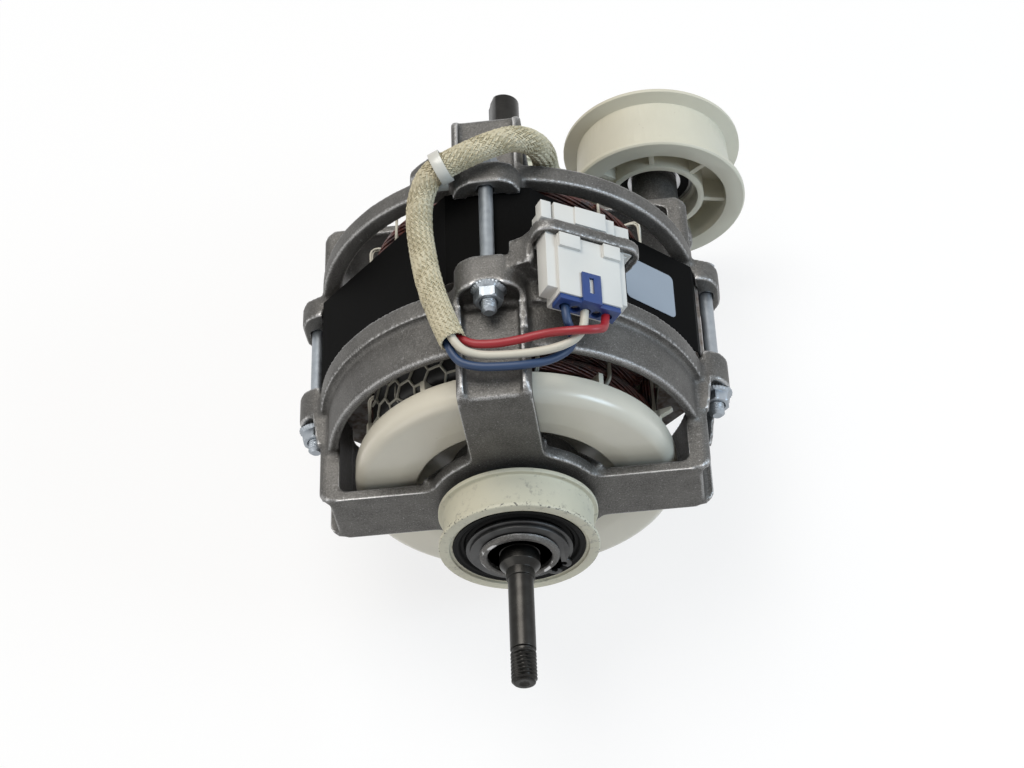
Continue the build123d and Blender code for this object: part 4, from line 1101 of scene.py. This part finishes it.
# %% [markdown]
# ## The shaft
# The shaft is turned from one bar. Its front end steps down to a thread for the machine's fan, and the
# thread's spiral is in the mesh, because it shows against the light. Spinning the outline with a radius
# that follows the spiral makes a true thread in one go.

# %% Turn the shaft
SHAFT_STEPS = 0.18
THREAD_RUN_IN = 0.8
THREAD_RUN_OUT = 0.6
BELT_FLAT = {"start": 150.0, "towards": -65.0, "depth": 4.1}
THREAD = {"start": -54.0, "end": -44.0, "pitch": 1.25, "depth": 0.62}
SHAFT_OUTLINE = [
    (0.0, -53.2), (1.2, -53.5, 0.3), (1.7, -54.0, 0.3), (3.2, -54.0, 0.9), (4.0, -53.1, 0.8),
    (4.0, -44.0, 0.2), (3.4, -43.8, 0.2), (3.4, -42.8, 0.2), (4.0, -42.6, 0.2), (4.0, -18.0, 0.1),
    (4.5, -17.9, 0.2), (4.5, -15.2, 0.3), (6.35, -13.2, 0.4), (6.35, -10.0), (6.15, -9.9), (6.15, -9.1),
    (6.35, -9.0), (6.35, 11.9), (7.48, 11.9, 0.2), (7.48, 23.0), (8.48, 23.0, 0.2), (8.48, 104.9, 0.2),
    (7.48, 104.9), (7.48, 116.0, 0.2), (6.3, 116.0), (6.3, 138.4, 0.2), (5.7, 138.5, 0.1),
    (5.7, 179.6, 0.4), (4.5, 180.8, 0.4), (1.6, 180.8, 0.2), (0.0, 179.7),
]


def thread_cut(station, angle, start, end, pitch, depth):
    """How deep the thread's groove is at a place."""
    phase = (station - start) / pitch - angle / (2 * math.pi)
    wave = 0.5 - 0.5 * math.cos(2 * math.pi * phase)
    run_in = max(0.0, (station - start + 0.2) / THREAD_RUN_IN)
    run_out = max(0.0, (end - station) / THREAD_RUN_OUT)
    return depth * wave * min(1.0, run_in, run_out)


def fine_outline(coarse):
    """The outline with its threaded run cut into short steps, for the spiral to follow."""
    fine = [coarse[0]]
    for before, after in zip(coarse, coarse[1:]):
        in_thread = min(before[1], after[1]) >= THREAD["start"] + 0.5 and after[1] <= THREAD["end"] + 0.1
        parts = max(1, math.ceil((after[1] - before[1]) / SHAFT_STEPS)) if in_thread else 1
        for share in (part / parts for part in range(1, parts + 1)):
            fine.append(tuple(first + (last - first) * share for first, last in zip(before, after)))
    return fine


def shaft_radius(radius, station, angle):
    """The radius with the thread's spiral at one end and the belt's flat at the other."""
    if THREAD["start"] + 0.2 < station < THREAD["end"] and radius > 3.3:
        return radius - thread_cut(station, angle, **THREAD)
    if station > BELT_FLAT["start"]:
        lean = math.cos(angle - math.radians(BELT_FLAT["towards"]))
        return min(radius, BELT_FLAT["depth"] / lean) if lean > 0.5 else radius
    return radius


shaft = lathe("shaft", fine_outline(rounded(SHAFT_OUTLINE, closed=False)), 96, shaft_radius, closed=False)
piece("turned_shaft", shaft, "shaft_steel", body="rotor", stands_for=["motor_shaft"], sharp=42)

# %% [markdown]
# ## Through bolts and flange nuts
# Four long zinc-plated bolts clamp the bells to the core. Each nut stands in a boss of the front bell,
# with a knurled flange under its hexagon and a few turns of thread sticking out. The hexagon is the
# smaller of a round outline and six flats, which gives the curved chamfer of a real nut.

# %% Make one bolt with its nut and set four of each
BOLT_CIRCLE = 65.25
BOLT_RADIUS = 2.24
BOLT_THREAD_RADIUS = 2.46
BOLT_THREAD_LENGTH = 10.5
BOLT_THREAD_DEPTH = 0.34
BOLT_STEP = 0.14
HEX_HALF = 4.0
KNURLS = 30
KNURL_DEPTH = 0.13
NUT = {"seat": 45.0, "height": 5.2, "flange": 5.4}
BOLT = {"tip": 36.0, "head_seat": 92.0, "head": 4.2, "pitch": 0.8}


def hexagon(angle):
    """The distance to a hexagon's side at an angle."""
    return HEX_HALF / math.cos((angle + math.pi / 6) % (math.pi / 3) - math.pi / 6)


def nut_mesh():
    """A hexagon with chamfered corners on a round flange with knurls."""
    seat, flange = NUT["seat"] - 0.02, NUT["flange"]
    top = seat - NUT["height"]
    outline = [
        (BOLT_THREAD_RADIUS + 0.02, top + 0.5), (BOLT_THREAD_RADIUS + 0.5, top), (HEX_HALF - 0.25, top),
        (HEX_HALF + 0.1, top + 0.15), (HEX_HALF + 0.7, top + 0.55), (HEX_HALF + 0.7, seat - 1.7),
        (HEX_HALF + 0.8, seat - 1.35), (flange - 0.3, seat - 0.95), (flange, seat - 0.75),
        (flange, seat - 0.12), (flange - 0.15, seat), (BOLT_THREAD_RADIUS + 0.02, seat),
    ]

    def shape(radius, station, angle):
        if HEX_HALF - 0.3 < radius < HEX_HALF + 0.75:
            return min(radius, hexagon(angle))
        if radius > HEX_HALF + 0.9:
            return radius + KNURL_DEPTH * math.cos(KNURLS * angle)
        return radius

    return lathe("nut", outline, 120, shape)


def bolt_mesh():
    """A threaded end, a plain shank and a hexagon head with a shallow dish."""
    tip, seat = BOLT["tip"], BOLT["head_seat"] + 0.02
    top = seat + BOLT["head"]
    outline = [(0.0, tip + 0.1), (1.5, tip), (BOLT_THREAD_RADIUS - 0.1, tip + 0.7)]
    station = tip + 0.7
    while station < tip + BOLT_THREAD_LENGTH:
        station += BOLT_STEP
        outline.append((BOLT_THREAD_RADIUS, station))
    outline += [
        (BOLT_RADIUS, station + 0.4), (BOLT_RADIUS, seat), (HEX_HALF + 0.7, seat),
        (HEX_HALF + 0.7, top - 0.8), (HEX_HALF + 0.1, top - 0.25), (HEX_HALF - 0.3, top - 0.05),
        (2.6, top - 0.1), (2.2, top - 0.45), (0.0, top - 0.5),
    ]

    def shape(radius, station, angle):
        if radius > BOLT_RADIUS + 0.5:
            return min(radius, hexagon(angle))
        if radius >= BOLT_THREAD_RADIUS - 0.2:
            return radius - thread_cut(station, angle, tip, tip + BOLT_THREAD_LENGTH, BOLT["pitch"],
                                       BOLT_THREAD_DEPTH)
        return radius

    return lathe("bolt", outline, 36, shape, closed=False)


for name, mesh, node in (
    ("serrated_nuts", nut_mesh(), "flange_nuts"), ("long_bolts", bolt_mesh(), "through_bolts"),
):
    four = round_the_line(moved(mesh, (0, 0, BOLT_CIRCLE)), 4, "zinc_steel")
    piece(name, four, "zinc_steel", stands_for=[node], sharp=30)

# %% [markdown]
# ## The windings
# The main and the auxiliary winding are bundles of enamelled copper wire. Each bundle runs through a
# slot of the core, bends over outside it, arches to its partner slot and comes back, three nested turns
# to a pole. The line of the bundle is worked out from the slots, and the strands are laid along it.

# %% Lay the wires of both windings
CORE = {"front": 52.0, "rear": 87.0, "flat": 52.3}
BUNDLE = {"bend": 4.9, "first": 7.3, "pitch": 5.85, "stub": 1.2}
WIRES = {
    "count": 11, "reach": 1.88, "wire": 0.50, "twist": 1.6, "wander": 0.22, "wander_size": 14, "sides": 6,
}
BUNDLE_HEART = 1.7
HALF_SPANS = (52.5, 67.5, 82.5)
SLOT_STEP = 15.0
LINK_LAYER = -1
ARCH_STEPS, BEND_STEPS, LINK_STEPS = 36, 5, 8
WINDINGS = (("main_winding", 37.4, 0.0, 1.0), ("auxiliary_winding", 43.9, 90.0, 4.0))


def polar(radius, angle, station):
    """The place at a radius and angle about the shaft line; the angle starts at +X and goes up to +Z."""
    return Vector((radius * math.cos(math.radians(angle)), station, radius * math.sin(math.radians(angle))))


def arc(first, middle, last, steps):
    """Places along the arc of a circle through three places."""
    back, ahead = first - middle, last - middle
    normal = back.cross(ahead)
    leaning = normal.cross(back) * ahead.length_squared + ahead.cross(normal) * back.length_squared
    centre = middle + leaning / (2 * normal.length_squared)
    spoke = first - centre
    whole = spoke.angle(middle - centre) + (middle - centre).angle(last - centre)
    axis = spoke.cross(middle - centre).normalized()
    return [centre + Matrix.Rotation(whole * step / steps, 3, axis) @ spoke for step in range(1, steps + 1)]


def bend(radius, slot, way, station, outward):
    """The start, middle and end of the quarter turn from a slot side into an end turn."""
    base = station - outward * BUNDLE["bend"]
    lean = way * math.degrees(math.atan2(BUNDLE["bend"], radius))
    side = polar(math.hypot(radius, BUNDLE["bend"]), slot, base)
    top = polar(radius, slot + lean, station)
    centre = polar(radius, slot + lean, base)
    return side, centre + ((side - centre) + (top - centre)) / math.sqrt(2), top


def end_turns(pole):
    """The end turns in order: two slots, the layer and the end they are at."""
    small, middle, large = HALF_SPANS
    far = pole + 180
    front = [
        (pole - small, pole + small, 0), (pole - middle, pole + middle, 1), (pole - large, pole + large, 2),
        (far - large, far + large, 2), (far - middle, far + middle, 1), (far - small, far + small, 0),
    ]
    rear = [
        (pole + small, pole - middle, 0), (pole + middle, pole - large, 1),
        (pole + large, far - large, LINK_LAYER), (far + large, far - middle, 1),
        (far + middle, far - small, 0),
    ]
    turns = [(*front[0], -1)]
    for back, ahead in zip(rear, front[1:]):
        turns += [(*back, 1), (*ahead, -1)]
    return turns


def link_places(side_radius, start, stop, base, outward):
    """The short arch at the core's rear face that links one pole's coils to the other's."""
    half = math.radians(SLOT_STEP / 2)
    low, high = polar(side_radius, start, base), polar(side_radius, stop, base)
    station = base + outward * side_radius * math.sin(half)
    top = polar(side_radius * math.cos(half), (start + stop) / 2, station)
    return [low, *arc(low, top, high, LINK_STEPS)]


def turn_places(radius, start, stop, station, outward):
    """One end turn: out of a slot, round in an arch and down into its partner slot."""
    way = 1 if stop > start else -1
    side, middle, top = bend(radius, start, way, station, outward)
    end, back_middle, back_top = bend(radius, stop, -way, station, outward)
    crest = polar(radius, (start + stop) / 2, station)
    return [side, *arc(side, middle, top, BEND_STEPS), *arc(top, crest, back_top, ARCH_STEPS),
            *arc(back_top, back_middle, end, BEND_STEPS)]


def winding_line(radius, pole):
    """The bundle's whole run, from its first slot to its last, as places in millimetres."""
    side_radius = math.hypot(radius, BUNDLE["bend"])
    start_and_end = CORE["rear"] + BUNDLE["stub"]
    places = [polar(side_radius, pole - HALF_SPANS[0], start_and_end)]
    for start, stop, layer, outward in end_turns(pole):
        face = CORE["rear"] if outward > 0 else CORE["front"]
        if layer == LINK_LAYER:
            base = face + outward * (BUNDLE["first"] - BUNDLE["bend"])
            places += link_places(side_radius, start, stop, base, outward)
        else:
            station = face + outward * (BUNDLE["first"] + BUNDLE["pitch"] * layer)
            places += turn_places(radius, start, stop, station, outward)
    return [*places, polar(side_radius, pole + 180 + HALF_SPANS[0], start_and_end)]


for node, radius, pole, seed in WINDINGS:
    line = winding_line(radius, pole)
    outer = strand_mesh(line_mesh(line), "winding_copper", **WIRES, seed=seed)
    heart = strand_mesh(line_mesh(line), "winding_copper", 1, 0.0, BUNDLE_HEART, sides=8)
    wires = joined(node + "_wires", [outer, heart])
    piece(node + "_wires", wires, "winding_copper", stands_for=[node], sharp=70)

# %% [markdown]
# ## Lacing
# White cord is tied round the bundles of the end turns at even angles, so that no wire can shake loose.
# Each loop is three fine cords side by side round a rounded window, and the loops are copies of one.

# %% Tie the lacing
LACING = {"inner": 34.3, "outer": 47.0, "count": 12, "round": 2.6, "low": 4.2, "high": 22.1, "first": 15.0}
CORDS = {"count": 3, "reach": 0.42, "wire": 0.36, "twist": 3.0, "wander": 0.12, "wander_size": 6, "sides": 6}


def lacing_mesh(face, outward):
    inner, outer, low, high, fillet = (LACING[key] for key in ("inner", "outer", "low", "high", "round"))
    corners = ((inner, low), (outer, low), (outer, high), (inner, high))
    window = rounded([(*corner, fillet) for corner in corners], steps=5)
    loop = line_mesh([(radius, face + outward * reach, 0.0) for radius, reach in window], closed=True)
    cords = strand_mesh(loop, "lacing_cord", **CORDS)
    return round_the_line(cords, LACING["count"], "lacing_cord", first=LACING["first"])


for node, face, outward in (("front_lacing", CORE["front"], -1), ("rear_lacing", CORE["rear"], 1)):
    piece(node + "_cords", lacing_mesh(face, outward), "lacing_cord", stands_for=[node], sharp=80)

# %% [markdown]
# ## The woven sleeve and its tie
# The leads run in a sleeve of braided glass yarn. A braid is two families of yarns that wind opposite
# ways round the line and pass over and under each other, so the strands tree makes it with a twist to
# the left, a twist to the right and a small wave that takes each yarn over two others and under two.
# A picture of cloth would look flat.

# %% Braid the sleeve and pull its tie tight
BRAID = {"yarns": 30, "reach": 3.73, "yarn": 0.35, "pitch": 32.0, "depth": 0.13, "step": 0.3, "liner": 3.66}
LINER_STRIDE = 4


def even_steps(places, step):
    """The same line with places an even step apart."""
    result = [places[0]]
    left = step
    for before, after in zip(places, places[1:]):
        run = (after - before).length
        way = left
        while way <= run:
            result.append(before.lerp(after, way / run))
            way += step
        left = way - run
    return result


def braid_mesh(line):
    yarns, pitch = BRAID["yarns"], BRAID["pitch"]
    ways = [
        strand_mesh(line_mesh(line), "sleeve_weave", yarns, BRAID["reach"], BRAID["yarn"], sides=3,
                    twist=way * 100 / pitch, waves=way * math.pi * yarns / pitch, depth=way * BRAID["depth"],
                    shift=math.pi)
        for way in (1, -1)
    ]
    liner = strand_mesh(line_mesh(line[::LINER_STRIDE]), "sleeve_weave", 1, 0.0, BRAID["liner"], sides=20,
                        caps=False)
    return joined("woven_sleeve", [*ways, liner])


sleeve_mesh = braid_mesh(even_steps([place / MM for place in sleeve_points], BRAID["step"]))
sleeve = piece("woven_sleeve", sleeve_mesh, "sleeve_weave", stands_for=["lead_sleeve"], sharp=80)
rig.cord(sleeve, exit=sleeve_points[0], length=sleeve_length, diameter=2 * SLEEVE_RADIUS * MM,
        far_end="object", stiffness="medium", lay="loose", path=sleeve_points)
softened("sleeve_tie", 0.3, "tie_nylon")

# %% [markdown]
# ## The net on the front windings
# At the upper left a white net of six-sided meshes holds a black film over the end turns. The meshes
# follow a rule, so their lines are worked out on a flat strip and bent round the bundle's outside. The
# strands tree gives them thickness, and the film is a thin curved sheet under them.

# %% Bend the film and its net over the end turns
NET = {"from": 100.0, "to": 154.0, "cell": 7.0, "line": 0.45, "lift": 0.27}
NET_SECTION = [
    (46.5, 44.5), (47.4, 41.5), (47.6, 36.0), (47.3, 31.0), (45.6, 29.2), (41.0, 28.9), (36.0, 28.9),
]
FILM_RADIUS = 47.5
FILM_THICKNESS = 0.25
FILM_COLUMNS, FILM_ROWS = 30, 16
FILM_WIDTH = math.radians(NET["to"] - NET["from"]) * FILM_RADIUS
FILM_REACH = sum(math.dist(*pair) for pair in zip(NET_SECTION, NET_SECTION[1:]))


def on_section(run):
    """The (radius, station) at a run along the film's section, in millimetres."""
    for before, after in zip(NET_SECTION, NET_SECTION[1:]):
        step = math.dist(before, after)
        if run <= step:
            return Vector(before).lerp(Vector(after), run / step)
        run -= step
    return Vector(NET_SECTION[-1])


def on_film(along, run, lift=0.0):
    """A place on the film: so far round it and so far along its section."""
    radius, station = on_section(run)
    return polar(radius + lift, NET["from"] + math.degrees(along / FILM_RADIUS), station - lift * 0.5)


def film_mesh():
    """The film's closed section, with its outer and its inner side, set at even steps round the winding."""
    runs = [FILM_REACH * row / FILM_ROWS for row in range(FILM_ROWS + 1)]
    section = [(run, 0.0) for run in runs] + [(run, -FILM_THICKNESS) for run in reversed(runs)]
    stops = (FILM_WIDTH * column / FILM_COLUMNS for column in range(FILM_COLUMNS + 1))
    return loft("film", [[on_film(stop, run, lift) for run, lift in section] for stop in stops])


def net_sides():
    """Every side of every six-sided mesh on the flat strip, each of them once."""
    size = NET["cell"] / math.sqrt(3)
    sides = set()
    for column in range(int(FILM_WIDTH / (1.5 * size)) + 1):
        for row in range(int(FILM_REACH / NET["cell"]) + 1):
            centre = (column * 1.5 * size, (row + column % 2 / 2) * NET["cell"])
            corners = [(round(centre[0] + size * math.cos(math.pi / 3 * k), 3),
                        round(centre[1] + size * math.sin(math.pi / 3 * k), 3)) for k in range(6)]
            sides |= {tuple(sorted(pair)) for pair in zip(corners, corners[1:] + corners[:1])}
    return sorted(side for side in sides
                  if all(0 <= place[0] <= FILM_WIDTH and 0 <= place[1] <= FILM_REACH for place in side))


def net_mesh():
    def draw(work):
        for first, last in net_sides():
            spots = [Vector(first).lerp(Vector(last), share / 3) for share in range(4)]
            verts = [work.verts.new(on_film(*spot, NET["lift"]) * MM) for spot in spots]
            for pair in zip(verts, verts[1:]):
                work.edges.new(pair)

    lines = edited(bpy.data.meshes.new("net"), draw)
    return strand_mesh(lines, "lacing_cord", 1, 0.0, NET["line"], wander=0.25, wander_size=6, sides=6)


piece("winding_film", film_mesh(), "net_film", sharp=60)
piece("winding_net", net_mesh(), "lacing_cord", sharp=80)

# %% [markdown]
# ## The blank label
# A small pale label sits on the wrap beside the connector. It is a thin plate with round corners, raised
# by its own thickness, and it stays bare.

# %% Stick on the label
LABEL = {"across": (4.5, 25.0), "stations": (61.6, 78.4), "round": 1.8, "thickness": 0.14, "turn": 45.0}
WRAP_TOP = CORE["flat"] + 0.4


def label_mesh():
    (left, right), (front, back) = LABEL["across"], LABEL["stations"]
    corners = [(left, front), (right, front), (right, back), (left, back)]
    outline = rounded([(*corner, LABEL["round"]) for corner in corners])
    plate = prism("label", outline, WRAP_TOP, WRAP_TOP + LABEL["thickness"], sides=(0, 1, 2))
    return moved(plate, about_y=LABEL["turn"])


piece("blank_label", label_mesh(), "label_blank", sharp=60)

# %% [markdown]
# ## The core's corner strip and the idler's seal
# Beside the right-hand bolt a strip of bare steel stands on the core's corner, and a black seal closes
# the idler's bearing. Both are small, and both are read at once from the photograph's dark lines.

# %% Add the corner strip and the seal
IDLER = {"x": 51.5, "z": -10.5, "front": 144.9, "inner": 9.3, "outer": 12.5}
STRIP = [(61.9, -1.6), (62.9, -1.6), (62.9, 4.2), (61.9, 4.2)]


def seal_mesh():
    front, inner, outer = IDLER["front"], IDLER["inner"], IDLER["outer"]
    outline = rounded([
        (inner, front + 0.35), (inner, front, 0.1), (inner + 1.0, front + 0.12), (outer - 0.8, front + 0.1),
        (outer, front - 0.02, 0.1), (outer, front + 0.35),
    ])
    return moved(lathe("seal", outline, 72), (IDLER["x"], 0, IDLER["z"]))


piece("corner_strip", prism("strip", STRIP, CORE["front"] + 0.2, CORE["rear"] - 0.2), "core_steel")
piece("idler_seal", seal_mesh(), "ring_rubber", body="idler")
print("idler bearing's front in mm", round(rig.box("idler_bearing_outer")[0][1] / MM, 2))

# %% [markdown]
# ## The connector and the small parts
# A white socket sits in the front bell's bracket, and the plug with the leads is pushed into it from the
# fan's side. The connector, the pulley, the washers, the circlips and the protector are right as
# measured, and only their edges were too sharp. So each is made again from the measured solid, with every
# sharp edge rounded by a few tenths of a millimetre, as a mould or a press leaves it.

# %% Round the edges of the small parts
softened("idler_pulley", 0.3, "pulley_plastic", "idler")
for node, width, slot in (
    ("thermal_protector", 0.4, "protector_case"), ("front_ring_washer", 0.15, "spring_steel"),
    ("rear_ring_washer", 0.15, "spring_steel"), ("front_circlip", 0.15, "spring_steel"),
    ("rear_circlip", 0.15, "spring_steel"), ("idler_circlip", 0.12, "spring_steel"),
    ("connector_plug", 0.28, "connector_white"), ("connector_socket", 0.25, "connector_white"),
    ("terminal_lock", 0.16, "lock_blue"),
):
    softened(node, width, slot)

# %% [markdown]
# ## The pale floor
# A matt disc of paper under the motor catches its shadow. To the camera most of it is plain white, and
# towards its rim all of it, so that it runs into the white room without an edge.

# %% Lay the floor
PAPER_SHARE = 0.8
FLOOR_REACH = 420.0
FLOOR_CORNERS = 96
FLOOR_CENTRE = 60
floor_level = solid_box[0][2] - 0.2 * MM
rim = [polar(FLOOR_REACH * MM, 360 * step / FLOOR_CORNERS, 0.0) for step in range(FLOOR_CORNERS)]
floor_mesh = bpy.data.meshes.new("floor")
floor_mesh.from_pydata([(spot.x, spot.z + FLOOR_CENTRE * MM, floor_level) for spot in rim], [],
                       [tuple(range(FLOOR_CORNERS))])
floor = put("floor", floor_mesh)

paper = Finish("floor")
paper.set(base_color=(0.93, 0.93, 0.93), roughness=0.9)
white = paper.node("ShaderNodeEmission", {"Color": WHITE})
across, along = paper.axis("X"), paper.axis("Y") - FLOOR_CENTRE
to_rim = paper.ramp((across * across + along * along) ** 0.5, 0.45 * FLOOR_REACH, 0.95 * FLOOR_REACH)
share = paper.seen() * (to_rim * (1 - PAPER_SHARE) + PAPER_SHARE)
matt = Value(paper, paper.shader.outputs[0])
paper.feed(paper.tree.nodes["Material Output"].inputs[0], paper.blend(share, matt, white))
floor_mesh.materials.append(finishes["floor"])
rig.stage(floor)
print("floor level in mm", round(floor_level / MM, 1))

# %% [markdown]
# ## The sizes
# The dressed motor must be as large as the measured one, so both boxes are written down side by side.

# %% Write down the sizes
visual_box = [list(corner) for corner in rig.bounds()]
with open("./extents.json", "w") as record:
    json.dump({"cad": solid_box, "visual": visual_box}, record)
